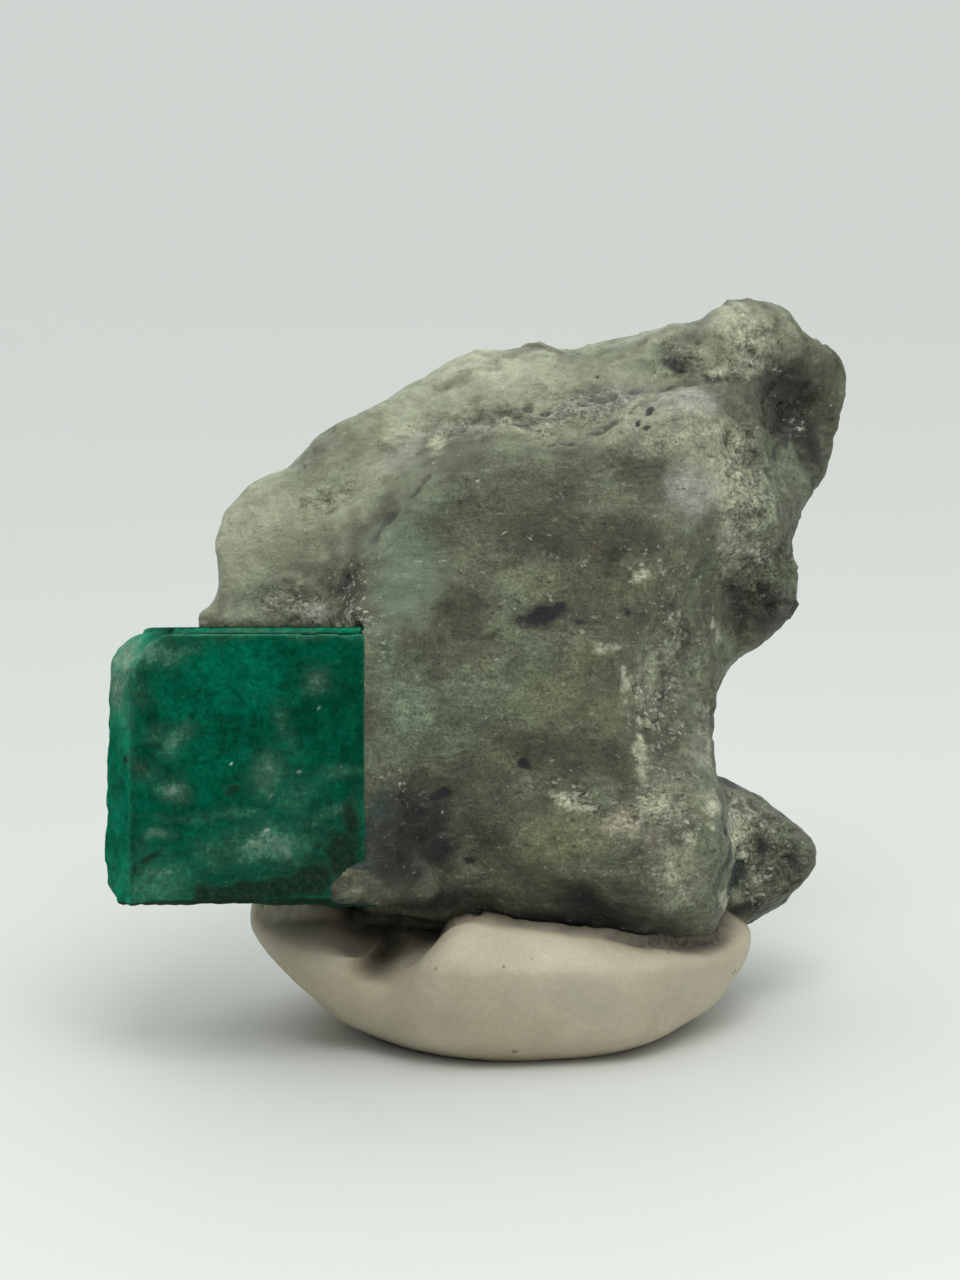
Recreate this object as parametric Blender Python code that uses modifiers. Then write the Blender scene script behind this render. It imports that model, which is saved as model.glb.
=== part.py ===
"""Raw emerald on its mother rock, standing on a pressed lump of mineral putty.

Three pieces: the six-sided emerald crystal, the pale green talc and quartz rock that it grew
in, and the putty that holds the specimen up. Blender 4.5, metres, +Z up, +Y to the back; the
origin is the middle of the putty's flat foot.

Lengths below are in millimetres. The specimen (crystal and rock) is described in its own
frame: +X to the right, +Y away from the front, +Z along the crystal, same origin. That frame
leans back by LEAN_DEG about X.
"""

import math

import bmesh
import bpy
from mathutils import Matrix, Vector, noise

MM = 0.001

# Driving dimensions
LEAN_DEG = 12.0
CLEARANCE = 0.25

# Emerald: an equiangular hexagon, walked from its front left corner, with 60 degree turns
CRYSTAL_CORNER = (-12.5, -7.5)
FRONT_FACE = 7.45
RIGHT_FRONT_FACE = 4.0
RIGHT_BACK_FACE = 4.0
LEFT_FRONT_FACE = 2.3
CRYSTAL_FOOT = 4.15
CRYSTAL_TOP = 12.98
GROWTH_LAYER_RISE = 0.2
GROWTH_LAYER_INSET = 0.22
GROWTH_LAYER_CHIP = ((-11.3, -7.0, 13.0), (-0.92, -0.38, 0.0))
FOOT_BREAK_DEPTH = 0.12
FOOT_BREAK_WAVE = 2.2
FOOT_BREAK_HEIGHT = 0.32

# Planes that chip the crystal: a point on each and the way it faces
CRYSTAL_CHIPS = {
    "upper left corner": ((-11.43, -7.5, 13.02), (-0.70, -0.36, 0.62)),
    "upper left tip": ((-12.1, -6.3, 13.1), (-0.45, -0.15, 0.88)),
    "left edge": ((-13.4, -5.5, 11.0), (-0.99, -0.12, 0.03)),
    "lower left corner": ((-13.36, -5.8, 4.7), (-0.84, -0.15, -0.52)),
    "lower front edge": ((-9.5, -7.5, 4.45), (0.05, -0.6, -0.8)),
    "back left edge": ((-10.5, -0.9, 11.8), (-0.45, 0.45, 0.77)),
}

# Rock: the rim is its outline seen from the front, as (x, y, z), from the left edge above the
# crystal clockwise; the stretch behind the crystal closes it
ROCK_HEART = Vector((1.5, 0.0, 12.6))
ROCK_RIM = (
    (-10.8, -1.0, 13.4), (-10.2, -1.2, 14.5), (-10.4, -1.2, 16.0), (-10.1, -1.0, 17.3),
    (-9.3, -0.6, 18.1), (-8.0, 0.0, 18.7), (-7.1, 0.0, 19.6), (-6.1, 0.3, 20.4),
    (-4.8, 0.5, 21.1), (-2.7, 0.8, 22.05), (-1.3, 1.0, 22.6), (-0.1, 1.0, 22.65),
    (0.9, 1.0, 22.9), (1.9, 1.0, 22.6), (3.5, 1.0, 23.1), (5.0, 0.5, 23.45),
    (6.4, 0.0, 23.8), (7.0, 0.0, 24.3), (7.9, 0.0, 24.5), (8.9, 0.5, 24.2),
    (9.9, 1.0, 23.2), (11.1, 2.0, 22.7), (11.4, 2.5, 21.5), (11.2, 2.5, 20.1),
    (10.5, 2.0, 18.4), (9.7, 1.5, 17.2), (9.5, 1.0, 16.0), (9.6, 1.0, 14.8),
    (9.3, 1.0, 13.7), (8.6, 1.0, 13.0), (7.4, 0.5, 12.1), (6.7, 0.0, 10.9),
    (6.5, -0.8, 9.5), (6.6, -1.5, 8.5), (6.9, -2.4, 7.4), (7.1, -3.0, 5.7),
    (7.1, -3.2, 4.0), (6.6, -3.2, 2.7), (4.8, -3.2, 2.5), (2.7, -3.2, 2.6),
    (0.7, -3.2, 2.8), (-1.7, -3.4, 3.3), (-4.2, -4.6, 3.9), (-6.1, -4.6, 4.1),
    (-8.5, 0.5, 5.2), (-10.1, 1.0, 7.6), (-10.9, 0.5, 10.4),
)
RIM_SQUARENESS = 3.0

# Spot depths of the rock's front and back, as (x, z, y)
FRONT_SPOTS = (
    # beside and below the crystal
    (-5.1, 12.8, -6.8), (-4.7, 10.7, -7.3), (-4.7, 8.9, -7.8), (-4.7, 7.4, -8.2),
    (-4.2, 4.8, -7.4), (-5.1, 6.2, -8.2), (-5.6, 4.9, -9.0),
    # central mass
    (-4.9, 15.1, -5.1), (-4.0, 16.1, -5.1), (-2.7, 17.4, -5.0), (-2.6, 14.1, -6.1),
    (-2.6, 10.8, -6.5), (-2.4, 7.6, -6.5), (-2.0, 5.0, -6.1), (0.7, 18.1, -5.3),
    (1.3, 15.4, -6.0), (1.3, 12.8, -6.1), (1.3, 10.8, -6.5), (1.3, 8.9, -6.3),
    (1.3, 6.0, -7.0), (1.3, 4.2, -6.6), (4.2, 19.4, -4.8), (4.2, 16.1, -5.6),
    (4.2, 13.4, -5.2), (3.3, 10.2, -5.8), (4.0, 7.6, -6.9), (4.4, 4.8, -6.9),
    (6.2, 6.2, -6.1), (6.2, 3.9, -5.8),
    # slab above the crystal, up to the top edge
    (-9.7, 16.1, -2.9), (-8.8, 14.1, -3.3), (-7.4, 16.8, -3.4), (-6.7, 14.4, -3.4),
    (-6.0, 18.4, -3.2), (-4.1, 19.8, -3.4), (-1.7, 21.1, -3.3), (1.3, 21.6, -3.0),
    (4.0, 21.9, -2.4),
    # upper right knob, right flank and its hollows
    (6.6, 22.7, -3.4), (8.2, 23.2, -2.8), (6.9, 20.4, -4.4), (5.8, 18.4, -4.9),
    (8.9, 21.9, -2.2), (10.0, 22.2, -0.2), (9.3, 20.3, 1.7), (10.3, 20.4, 2.0),
    (8.0, 20.4, -2.8), (8.2, 19.0, -2.2), (9.4, 18.6, 0.8), (7.4, 17.4, -3.7),
    (8.3, 15.6, -2.7),
    (9.0, 14.6, -1.2), (7.0, 15.4, -4.0), (7.3, 13.4, -0.6), (6.0, 12.6, -3.9),
    (5.4, 10.8, -3.9), (5.6, 9.3, -4.9), (6.2, 8.0, -5.2),
)
BACK_SPOTS = (
    (-9.0, 14.5, 3.4), (-9.0, 10.5, 3.2), (-7.5, 7.0, 3.4), (-6.5, 17.5, 4.2),
    (-4.5, 12.5, 5.4), (-4.0, 8.0, 5.2), (-3.0, 4.5, 3.6), (-1.5, 20.0, 4.4),
    (0.0, 15.5, 6.4), (0.5, 10.0, 6.6), (1.5, 5.5, 5.0), (3.5, 18.5, 5.2),
    (4.5, 13.5, 5.6), (4.5, 8.5, 5.4), (5.5, 4.5, 4.0), (7.0, 21.5, 4.2),
    (8.0, 17.5, 4.6), (7.5, 14.0, 3.6),
)
SPOT_REACH = 1.15
SPOT_FAR_WEIGHT = 1e-4

# The step where the central mass stands proud of the slab: its line as (x, z, height), from
# beside the crystal's top corner up to the right
LEDGE = (
    (-5.6, 12.6, 0.9), (-5.55, 15.2, 1.0), (-4.95, 16.0, 0.95), (-4.0, 17.1, 0.85),
    (-3.2, 17.9, 0.7), (-2.2, 18.9, 0.4), (-0.8, 19.6, 0.15),
)
LEDGE_RUN = 0.3
LEDGE_REACH = 2.6
FRONT_STARTS, FRONT_FULL = 0.1, 0.5

# Cracks: each a line of (x, z) across the front, and all as wide and deep as this
CRACKS = (
    ((-3.5, 19.8), (-2.3, 20.15), (-1.0, 20.35), (0.3, 20.6)),
    ((0.8, 19.35), (2.0, 19.5), (2.6, 19.85), (3.9, 20.6), (4.8, 20.7)),
    ((2.3, 20.85), (4.3, 21.0), (5.25, 21.2), (7.2, 21.6)),
)
CRACK_WIDTH = 0.3
CRACK_DEPTH = 0.4

# Hollows and swellings of the rock: centre (x, y, z), radius and depth, inwards if positive
ROCK_DENTS = {
    "hollow under the knob": ((5.0, -4.2, 21.9), 1.0, 0.5),
    "hollow under the shelf": ((8.0, -2.0, 13.0), 1.1, 0.7),
    "dark streak": ((1.6, -6.0, 14.0), 0.9, 0.35),
    "lower left pit": ((-2.4, -6.2, 8.2), 0.8, 0.3),
    "lower swelling": ((3.4, -6.8, 6.2), 2.4, -0.35),
    "back scoop": ((-3.0, 6.0, 16.5), 3.2, 1.3),
    "back notch": ((4.5, 6.0, 10.5), 1.8, 0.9),
    "top notch": ((5.0, 2.0, 23.6), 1.2, 0.5),
}

# Flat breaks of the rock: a point, the way each faces, and the share of the cut that is taken
ROCK_BREAKS = {
    "back upper": ((1.0, 4.4, 19.0), (-0.05, 0.85, 0.53), 0.85),
    "back middle": ((-1.0, 6.3, 12.0), (-0.30, 0.95, 0.0), 0.8),
    "back left": ((-7.5, 2.9, 12.0), (-0.72, 0.69, 0.1), 0.85),
    "back right": ((8.9, 4.4, 14.0), (0.80, 0.58, -0.12), 0.85),
    "back lower": ((1.0, 5.0, 6.0), (0.10, 0.83, -0.55), 0.85),
    "underside": ((0.0, 0.0, 2.55), (0.05, 0.10, -0.99), 0.7),
}

# Knob of the rock at its lower right, behind the front mass
KNOB_CENTRE = Vector((6.9, 1.9, 5.0))
KNOB_RADII = Vector((3.7, 3.0, 2.9))
KNOB_TURN_DEG = -24.0
KNOB_BREAKS = {
    "upper slope": ((8.2, 1.0, 6.9), (0.52, -0.18, 0.83), 0.8),
    "front": ((7.6, -0.6, 5.2), (0.45, -0.88, 0.12), 0.7),
    "lower slope": ((8.2, 1.5, 3.5), (0.55, -0.1, -0.82), 0.8),
}

# Roughness of the rock, as (wavelength, height)
ROCK_WAVES = ((4.6, 0.42), (2.0, 0.24), (0.95, 0.12))
ROCK_TRIANGLES = 6200

# Putty: a pressed lump in the world's frame. The fold in its front left runs through these
# points, as (x, y, z, depth)
PUTTY_FOOT_RADII = (6.6, 6.1)
PUTTY_TOP_CENTRE = (-0.6, 0.2)
PUTTY_TOP_RADII = (8.5, 6.9)
PUTTY_TOP = 4.55
PUTTY_TOP_FALL = 0.085
PUTTY_FLARE_HEIGHT = 3.3
PUTTY_TOP_FLATNESS = 1.25
PUTTY_SIDE_FULLNESS = 1.12
PUTTY_BULGE = 0.45
PUTTY_WAVE = 3.4
PUTTY_WAVE_HEIGHT = 0.28
PUTTY_FOLD = (
    (-3.0, -3.4, 4.7, 1.0), (-3.9, -5.2, 4.5, 1.5), (-4.5, -6.0, 3.6, 1.25),
    (-4.9, -5.9, 2.6, 0.85), (-5.7, -5.0, 1.5, 0.15),
)
PUTTY_FOLD_WIDTH = 0.9
PUTTY_SWELLINGS = {
    "lip right of the fold": ((-2.2, -6.2, 4.6), 1.5, -0.5),
    "left cheek": ((-6.6, -4.2, 3.0), 1.8, -0.35),
}
PUTTY_TRIANGLES = 2300
ROOM_DETAIL = 0.3

EMERALD_GREEN = (0.0, 0.14, 0.065, 1.0)
ROCK_GREEN = (0.30, 0.32, 0.24, 1.0)
PUTTY_BEIGE = (0.56, 0.50, 0.38, 1.0)


def clear_scene():
    for obj in list(bpy.data.objects):
        bpy.data.objects.remove(obj)


def new_collection(name):
    collection = bpy.data.collections.new(name)
    bpy.context.scene.collection.children.link(collection)
    return collection


def finish_material(name, colour, roughness):
    material = bpy.data.materials.new(name)
    material.use_nodes = True
    shader = material.node_tree.nodes["Principled BSDF"]
    shader.inputs["Base Color"].default_value = colour
    shader.inputs["Roughness"].default_value = roughness
    shader.inputs["Metallic"].default_value = 0.0
    return material


def add_mesh(name, bm, collection, parent=None):
    """A mesh object from bm, whose millimetres become metres here."""
    bmesh.ops.recalc_face_normals(bm, faces=bm.faces)
    bm.transform(Matrix.Scale(MM, 4))
    mesh = bpy.data.meshes.new(name)
    bm.to_mesh(mesh)
    bm.free()
    obj = bpy.data.objects.new(name, mesh)
    obj.parent = parent
    collection.objects.link(obj)
    return obj


def make_cutter(obj):
    obj.hide_render = True
    obj.display_type = "WIRE"
    return obj


def add_boolean(obj, operation, other):
    modifier = obj.modifiers.new(f"{operation.lower()} {other.name}", "BOOLEAN")
    modifier.operation = operation
    modifier.solver = "EXACT"
    modifier.object = other


def add_decimate(obj, triangles):
    """Thins the mesh, as it is after the modifiers before this one, to about that many."""
    bpy.context.view_layer.update()
    graph = bpy.context.evaluated_depsgraph_get()
    mesh = obj.evaluated_get(graph).to_mesh()
    mesh.calc_loop_triangles()
    share = triangles / len(mesh.loop_triangles)
    modifier = obj.modifiers.new("Thin", "DECIMATE")
    modifier.ratio = min(1.0, share)
    modifier.use_collapse_triangulate = True


def smoothstep(low, high, value):
    share = min(1.0, max(0.0, (value - low) / (high - low)))
    return share * share * (3.0 - 2.0 * share)


# ---- emerald ----------------------------------------------------------------------------


def crystal_outline(grow=0.0):
    """Corners of the crystal's cross-section, its sides moved out by grow."""
    left_back = RIGHT_FRONT_FACE + RIGHT_BACK_FACE - LEFT_FRONT_FACE
    back = FRONT_FACE + RIGHT_FRONT_FACE - left_back
    sides = (FRONT_FACE, RIGHT_FRONT_FACE, RIGHT_BACK_FACE, back, left_back, LEFT_FRONT_FACE)
    longer = 2.0 * grow * math.tan(math.radians(30.0))
    start = -120.0
    corner = Vector(CRYSTAL_CORNER)
    corner += Vector((math.cos(math.radians(start)), math.sin(math.radians(start)))) * (
        grow / math.cos(math.radians(30.0))
    )
    corners = []
    for index, side in enumerate(sides):
        corners.append(corner.copy())
        heading = math.radians(60.0 * index)
        corner += Vector((math.cos(heading), math.sin(heading))) * (side + longer)
    return corners


def prism(corners, low, high):
    """A bmesh prism on these corners, from low to high."""
    bm = bmesh.new()
    base = bm.faces.new([bm.verts.new((c.x, c.y, low)) for c in corners])
    made = bmesh.ops.extrude_face_region(bm, geom=[base])
    tops = [item for item in made["geom"] if isinstance(item, bmesh.types.BMVert)]
    bmesh.ops.translate(bm, verts=tops, vec=(0.0, 0.0, high - low))
    return bm


def chip(bm, point, facing):
    """Cuts off what lies beyond a plane, and closes the cut."""
    everything = list(bm.verts) + list(bm.edges) + list(bm.faces)
    cut = bmesh.ops.bisect_plane(
        bm, geom=everything, dist=1e-5, plane_co=point, plane_no=facing, clear_outer=True
    )
    edges = [item for item in cut["geom_cut"] if isinstance(item, bmesh.types.BMEdge)]
    bmesh.ops.edgenet_fill(bm, edges=edges)


def foot_break(collection, parent):
    """A cutter with an uneven top, which breaks the crystal off along its foot."""
    bm = bmesh.new()
    bmesh.ops.create_cube(bm, size=1.0)
    bmesh.ops.subdivide_edges(bm, edges=bm.edges, cuts=9, use_grid_fill=True)
    size = Vector((14.0, 14.0, 3.0))
    centre = Vector((-9.0, -3.5, CRYSTAL_FOOT - size.z / 2.0 + FOOT_BREAK_DEPTH))
    for vert in bm.verts:
        vert.co = centre + vert.co * size
        vert.co.z += FOOT_BREAK_HEIGHT * noise.noise(vert.co / FOOT_BREAK_WAVE)
    return make_cutter(add_mesh("foot break", bm, collection, parent))


def build_emerald(pieces, cutters, lean):
    bm = prism(crystal_outline(), CRYSTAL_FOOT, CRYSTAL_TOP)
    for point, facing in CRYSTAL_CHIPS.values():
        chip(bm, point, facing)
    emerald = add_mesh("emerald_crystal", bm, pieces, lean)

    top = CRYSTAL_TOP + GROWTH_LAYER_RISE
    layer = prism(crystal_outline(-GROWTH_LAYER_INSET), CRYSTAL_TOP - 1.0, top)
    chip(layer, *GROWTH_LAYER_CHIP)
    add_boolean(emerald, "UNION", make_cutter(add_mesh("growth layer", layer, cutters, lean)))
    add_boolean(emerald, "DIFFERENCE", foot_break(cutters, lean))
    emerald.data.materials.append(finish_material("emerald", EMERALD_GREEN, 0.15))
    return emerald


# ---- rock -------------------------------------------------------------------------------


def rim_at(angle):
    """The rim's point in this direction round the heart, on straight lines between its points."""
    turned = []
    for x, y, z in ROCK_RIM:
        place = Vector((x, y, z))
        away = place - ROCK_HEART
        turned.append(((math.atan2(away.z, away.x) - angle) % math.tau, place))
    turned.sort(key=lambda item: item[0])
    (after, right), (before, left) = turned[0], turned[-1]
    before -= math.tau
    return left.lerp(right, -before / (after - before))


def spot_depth(spots, x, z):
    """The depth at (x, z), each spot weighing less the further it is."""
    total = weights = 0.0
    for spot_x, spot_z, depth in spots:
        square = ((x - spot_x) ** 2 + (z - spot_z) ** 2) / SPOT_REACH**2
        weight = math.exp(-0.5 * square) + SPOT_FAR_WEIGHT / (1.0 + square)
        total += weight * depth
        weights += weight
    return total / weights


def rock_point(direction):
    """Where the rock's surface lies in this direction of a unit ball round the heart."""
    across = math.hypot(direction.x, direction.z)
    rise = abs(direction.y)
    scale = (across**RIM_SQUARENESS + rise**RIM_SQUARENESS) ** (-1.0 / RIM_SQUARENESS)
    rim = rim_at(math.atan2(direction.z, direction.x))
    place = ROCK_HEART.lerp(rim, across * scale)
    spots = FRONT_SPOTS if direction.y < 0.0 else BACK_SPOTS
    depth = spot_depth(spots, place.x, place.z)
    place.y = rim.y + (depth - rim.y) * rise * scale
    return place


def beside(line, x, z):
    """How far (x, z) is from a line, its side (+1 right of the way it runs), and how far along."""
    best = None
    for index, (start, end) in enumerate(zip(line, line[1:])):
        along = Vector(end[:2]) - Vector(start[:2])
        offset = Vector((x, z)) - Vector(start[:2])
        share = min(1.0, max(0.0, offset.dot(along) / along.length_squared))
        distance = (offset - along * share).length
        if best is None or distance < best[0]:
            side = math.copysign(1.0, along.y * offset.x - along.x * offset.y)
            best = (distance, side, index + share)
    return best


def ledge_rise(x, z):
    """How far the ledge lifts the front here: full just right of its line, none to the left."""
    distance, side, along = beside(LEDGE, x, z)
    index = min(int(along), len(LEDGE) - 2)
    low, high = LEDGE[index][2], LEDGE[index + 1][2]
    height = low + (high - low) * (along - index)
    return height * smoothstep(-LEDGE_RUN, LEDGE_RUN, side * distance) * (
        1.0 - smoothstep(LEDGE_RUN, LEDGE_REACH, distance)
    )


def crack_depth(x, z):
    nearest = min(beside(line, x, z)[0] for line in CRACKS)
    return CRACK_DEPTH * math.exp(-((nearest / CRACK_WIDTH) ** 2))


def dent(place, normal, dents):
    for centre, radius, depth in dents.values():
        square = (place - Vector(centre)).length_squared / radius**2
        place -= normal * (depth * math.exp(-square))


def break_off(place, breaks):
    """Presses what stands beyond each break's plane back on to it."""
    for point, facing, share in breaks.values():
        facing = Vector(facing).normalized()
        beyond = (place - Vector(point)).dot(facing)
        if beyond > 0.0:
            place -= facing * (beyond * share)


def roughen(place, normal):
    for wave, height in ROCK_WAVES:
        place += normal * (height * noise.noise(place / wave))


def rock_mass():
    """The rock's body, as a bmesh in millimetres."""
    bm = bmesh.new()
    bmesh.ops.create_icosphere(bm, subdivisions=6, radius=1.0)
    for vert in bm.verts:
        front = smoothstep(FRONT_STARTS, FRONT_FULL, -vert.co.y)
        vert.co = rock_point(vert.co)
        x, z = vert.co.x, vert.co.z
        vert.co.y -= front * (ledge_rise(x, z) - crack_depth(x, z))
    bm.normal_update()
    normals = [vert.normal.copy() for vert in bm.verts]
    for vert, normal in zip(bm.verts, normals):
        dent(vert.co, normal, ROCK_DENTS)
        break_off(vert.co, ROCK_BREAKS)
        roughen(vert.co, normal)
    return bm


def rock_knob():
    """The knob at the rock's lower right, as a bmesh in millimetres."""
    bm = bmesh.new()
    bmesh.ops.create_icosphere(bm, subdivisions=5, radius=1.0)
    turn = Matrix.Rotation(math.radians(KNOB_TURN_DEG), 3, "Y")
    for vert in bm.verts:
        direction = vert.co.copy()
        vert.co = KNOB_CENTRE + turn @ Vector(a * b for a, b in zip(direction, KNOB_RADII))
        break_off(vert.co, KNOB_BREAKS)
        roughen(vert.co, turn @ direction)
    return bm


def build_rock(pieces, cutters, lean):
    rock = add_mesh("matrix_rock", rock_mass(), pieces, lean)
    add_boolean(rock, "UNION", make_cutter(add_mesh("knob", rock_knob(), cutters, lean)))
    socket = prism(
        crystal_outline(CLEARANCE),
        CRYSTAL_FOOT - CLEARANCE,
        CRYSTAL_TOP + GROWTH_LAYER_RISE + CLEARANCE,
    )
    add_boolean(rock, "DIFFERENCE", make_cutter(add_mesh("socket", socket, cutters, lean)))
    add_decimate(rock, ROCK_TRIANGLES)
    rock.data.materials.append(finish_material("rock", ROCK_GREEN, 0.6))
    return rock


# ---- putty ------------------------------------------------------------------------------


def putty_point(direction):
    """The lump's surface in this direction of a unit ball: a flared bowl, flat on its top."""
    across = math.hypot(direction.x, direction.y)
    share = 0.5 + 0.5 * min(1.0, PUTTY_TOP_FLATNESS * direction.z)
    flare = smoothstep(0.0, PUTTY_FLARE_HEIGHT, share * PUTTY_TOP)
    bulge = min(1.0, across * PUTTY_SIDE_FULLNESS) ** PUTTY_BULGE
    around = direction.to_2d().normalized() if across > 1e-6 else Vector((0.0, 0.0))
    x, y = (
        centre * flare + way * bulge * (foot + (top - foot) * flare)
        for centre, way, foot, top in zip(
            PUTTY_TOP_CENTRE, around, PUTTY_FOOT_RADII, PUTTY_TOP_RADII
        )
    )
    top = PUTTY_TOP - PUTTY_TOP_FALL * max(0.0, x)
    place = Vector((x, y, share * top))
    wave = PUTTY_WAVE_HEIGHT * noise.noise(place / PUTTY_WAVE)
    return place + Vector((around.x, around.y, 0.3)) * wave


def fold_depth(place):
    """How far the fold in the putty's front left goes in here."""
    deepest = 0.0
    for start, end in zip(PUTTY_FOLD, PUTTY_FOLD[1:]):
        base, along = Vector(start[:3]), Vector(end[:3]) - Vector(start[:3])
        share = min(1.0, max(0.0, (place - base).dot(along) / along.length_squared))
        away = (place - base - along * share).length / PUTTY_FOLD_WIDTH
        depth = start[3] + (end[3] - start[3]) * share
        deepest = max(deepest, depth * math.exp(-away * away))
    return deepest


def room_for(name, sources, collection):
    """A cutter: the finished sources as one body, its surface moved out by the clearance."""
    bpy.context.view_layer.update()
    graph = bpy.context.evaluated_depsgraph_get()
    bm = bmesh.new()
    for source in sources:
        mesh = bpy.data.meshes.new_from_object(source.evaluated_get(graph))
        bm.from_mesh(mesh)
    mesh = bpy.data.meshes.new(name)
    bm.to_mesh(mesh)
    bm.free()
    room = bpy.data.objects.new(name, mesh)
    room.parent = sources[0].parent
    collection.objects.link(room)
    swell = room.modifiers.new("Swell", "DISPLACE")
    swell.strength = CLEARANCE * MM
    swell.mid_level = 0.0
    remesh = room.modifiers.new("Close", "REMESH")
    remesh.mode = "VOXEL"
    remesh.voxel_size = ROOM_DETAIL * MM
    return make_cutter(room)


def build_putty(pieces, cutters, emerald, rock):
    bm = bmesh.new()
    bmesh.ops.create_icosphere(bm, subdivisions=6, radius=1.0)
    for vert in bm.verts:
        vert.co = putty_point(vert.co)
    bm.normal_update()
    for vert, normal in [(vert, vert.normal.copy()) for vert in bm.verts]:
        vert.co -= normal * fold_depth(vert.co)
        dent(vert.co, normal, PUTTY_SWELLINGS)
    chip(bm, (0.0, 0.0, 0.0), (0.0, 0.0, -1.0))
    putty = add_mesh("putty_base", bm, pieces)
    add_boolean(putty, "DIFFERENCE", room_for("specimen room", (rock, emerald), cutters))
    add_decimate(putty, PUTTY_TRIANGLES)
    putty.data.materials.append(finish_material("putty", PUTTY_BEIGE, 0.7))
    return putty


def main():
    clear_scene()
    pieces = new_collection("raw emerald specimen")
    cutters = new_collection("cutters")
    lean = bpy.data.objects.new("lean", None)
    lean.rotation_euler.x = -math.radians(LEAN_DEG)
    pieces.objects.link(lean)
    emerald = build_emerald(pieces, cutters, lean)
    rock = build_rock(pieces, cutters, lean)
    build_putty(pieces, cutters, emerald, rock)


main()
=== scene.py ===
"""Looks of the raw emerald specimen: a deep green, flawed crystal in its pale green schist rock,
pressed into cream putty.

The crystal, the rock and the putty are each remeshed finely from their CAD solid, given the
fine relief that the solids leave out, and painted by noise and by named soft patches. Places
are in millimetres in the specimen's own frame: +X right, +Y away from the front, +Z along the
crystal; it leans back by LEAN_DEG from the model's frame.
"""

import math

import bmesh
import bpy
import numpy as np
from mathutils import Matrix, Vector, noise
from mathutils.bvhtree import BVHTree


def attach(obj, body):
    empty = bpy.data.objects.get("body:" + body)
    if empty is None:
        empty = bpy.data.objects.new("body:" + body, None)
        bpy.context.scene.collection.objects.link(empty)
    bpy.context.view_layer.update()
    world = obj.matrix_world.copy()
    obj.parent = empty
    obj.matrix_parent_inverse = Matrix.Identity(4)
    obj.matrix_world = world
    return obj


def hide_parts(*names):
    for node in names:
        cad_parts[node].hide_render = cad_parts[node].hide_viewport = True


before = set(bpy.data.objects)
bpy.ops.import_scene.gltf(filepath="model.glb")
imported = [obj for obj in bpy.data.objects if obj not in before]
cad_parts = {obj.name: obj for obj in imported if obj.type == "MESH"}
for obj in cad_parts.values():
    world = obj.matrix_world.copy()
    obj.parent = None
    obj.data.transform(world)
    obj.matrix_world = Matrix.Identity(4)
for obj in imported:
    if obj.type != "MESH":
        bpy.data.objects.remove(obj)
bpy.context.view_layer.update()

# The tilts of the rock's facets come from noise vectors, which follow this seed
noise.seed_set(1)

MM = 0.001
LEAN_DEG = 12.0
LEAN = Matrix.Rotation(-math.radians(LEAN_DEG), 4, "X")

# How fine each piece's mesh is
ROCK_DETAIL = 0.137
CRYSTAL_DETAIL = 0.085
PUTTY_DETAIL = 0.13

# How far the gaps between the CAD solids, which the pieces here close, are looked across, and
# how far the pieces sink in
GAP_REACH = 0.4
SINK = 0.04

# The crystal's foot and top, and its front face
CRYSTAL_FOOT = 4.15
CRYSTAL_TOP = 12.98
FRONT_Y = -7.5
FRONT_RIGHT_X = -5.05
FRONT_LEFT_X = -12.5

# Foliation of the rock, rising to the right, and its finest leaves, which rise less
FOLIATION_DEG = 20.0
LEAF_DEG = 8.0


# ---- helpers: meshes --------------------------------------------------------------------


def solid_mesh(node):
    """A CAD node's mesh in the specimen's frame, in millimetres."""
    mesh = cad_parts[node].data.copy()
    mesh.transform(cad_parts[node].matrix_world)
    mesh.transform(Matrix.Scale(1.0 / MM, 4) @ LEAN.inverted())
    return mesh


def apply_modifiers(obj):
    """Its mesh as its modifiers make it; the object goes."""
    bpy.context.view_layer.update()
    graph = bpy.context.evaluated_depsgraph_get()
    mesh = bpy.data.meshes.new_from_object(obj.evaluated_get(graph))
    bpy.data.objects.remove(obj)
    return mesh


def add_object(name, data):
    made = bpy.data.objects.new(name, data)
    bpy.context.scene.collection.objects.link(made)
    return made


def remeshed(mesh, detail):
    """The mesh with even faces of this size."""
    obj = add_object("work", mesh)
    remesh = obj.modifiers.new("Even", "REMESH")
    remesh.mode = "VOXEL"
    remesh.voxel_size = detail
    return apply_modifiers(obj)


def softened(mesh, passes, shares=None):
    """The mesh smoothed this many times over, each vertex by its share."""
    obj = add_object("work", mesh)
    smooth = obj.modifiers.new("Soften", "SMOOTH")
    smooth.factor = 0.5
    smooth.iterations = passes
    if shares is not None:
        group = obj.vertex_groups.new(name="shares")
        for index, share in enumerate(shares.tolist()):
            if share > 0.01:
                group.add([index], share, "REPLACE")
        smooth.vertex_group = group.name
    return apply_modifiers(obj)


def places_and_normals(mesh):
    """Where each vertex lies, and the way it faces."""
    tables = []
    for values, name in ((mesh.vertices, "co"), (mesh.vertex_normals, "vector")):
        flat = np.empty(len(mesh.vertices) * 3, dtype=np.float32)
        values.foreach_get(name, flat)
        tables.append(flat.reshape(-1, 3).astype(float))
    return tables


def move_to(mesh, places):
    mesh.vertices.foreach_set("co", places.astype(np.float32).ravel())
    mesh.update()


def surface_of(mesh):
    mesh.calc_loop_triangles()
    triangles = [tuple(triangle.vertices) for triangle in mesh.loop_triangles]
    return BVHTree.FromPolygons([vertex.co.copy() for vertex in mesh.vertices], triangles)


def nearest(surface, places):
    """Nearest points of a surface, the way it faces there, and how far off they are."""
    hits = [surface.find_nearest(place) for place in places.tolist()]
    return tuple(np.array([hit[index] for hit in hits]) for index in (0, 1, 3))


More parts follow.
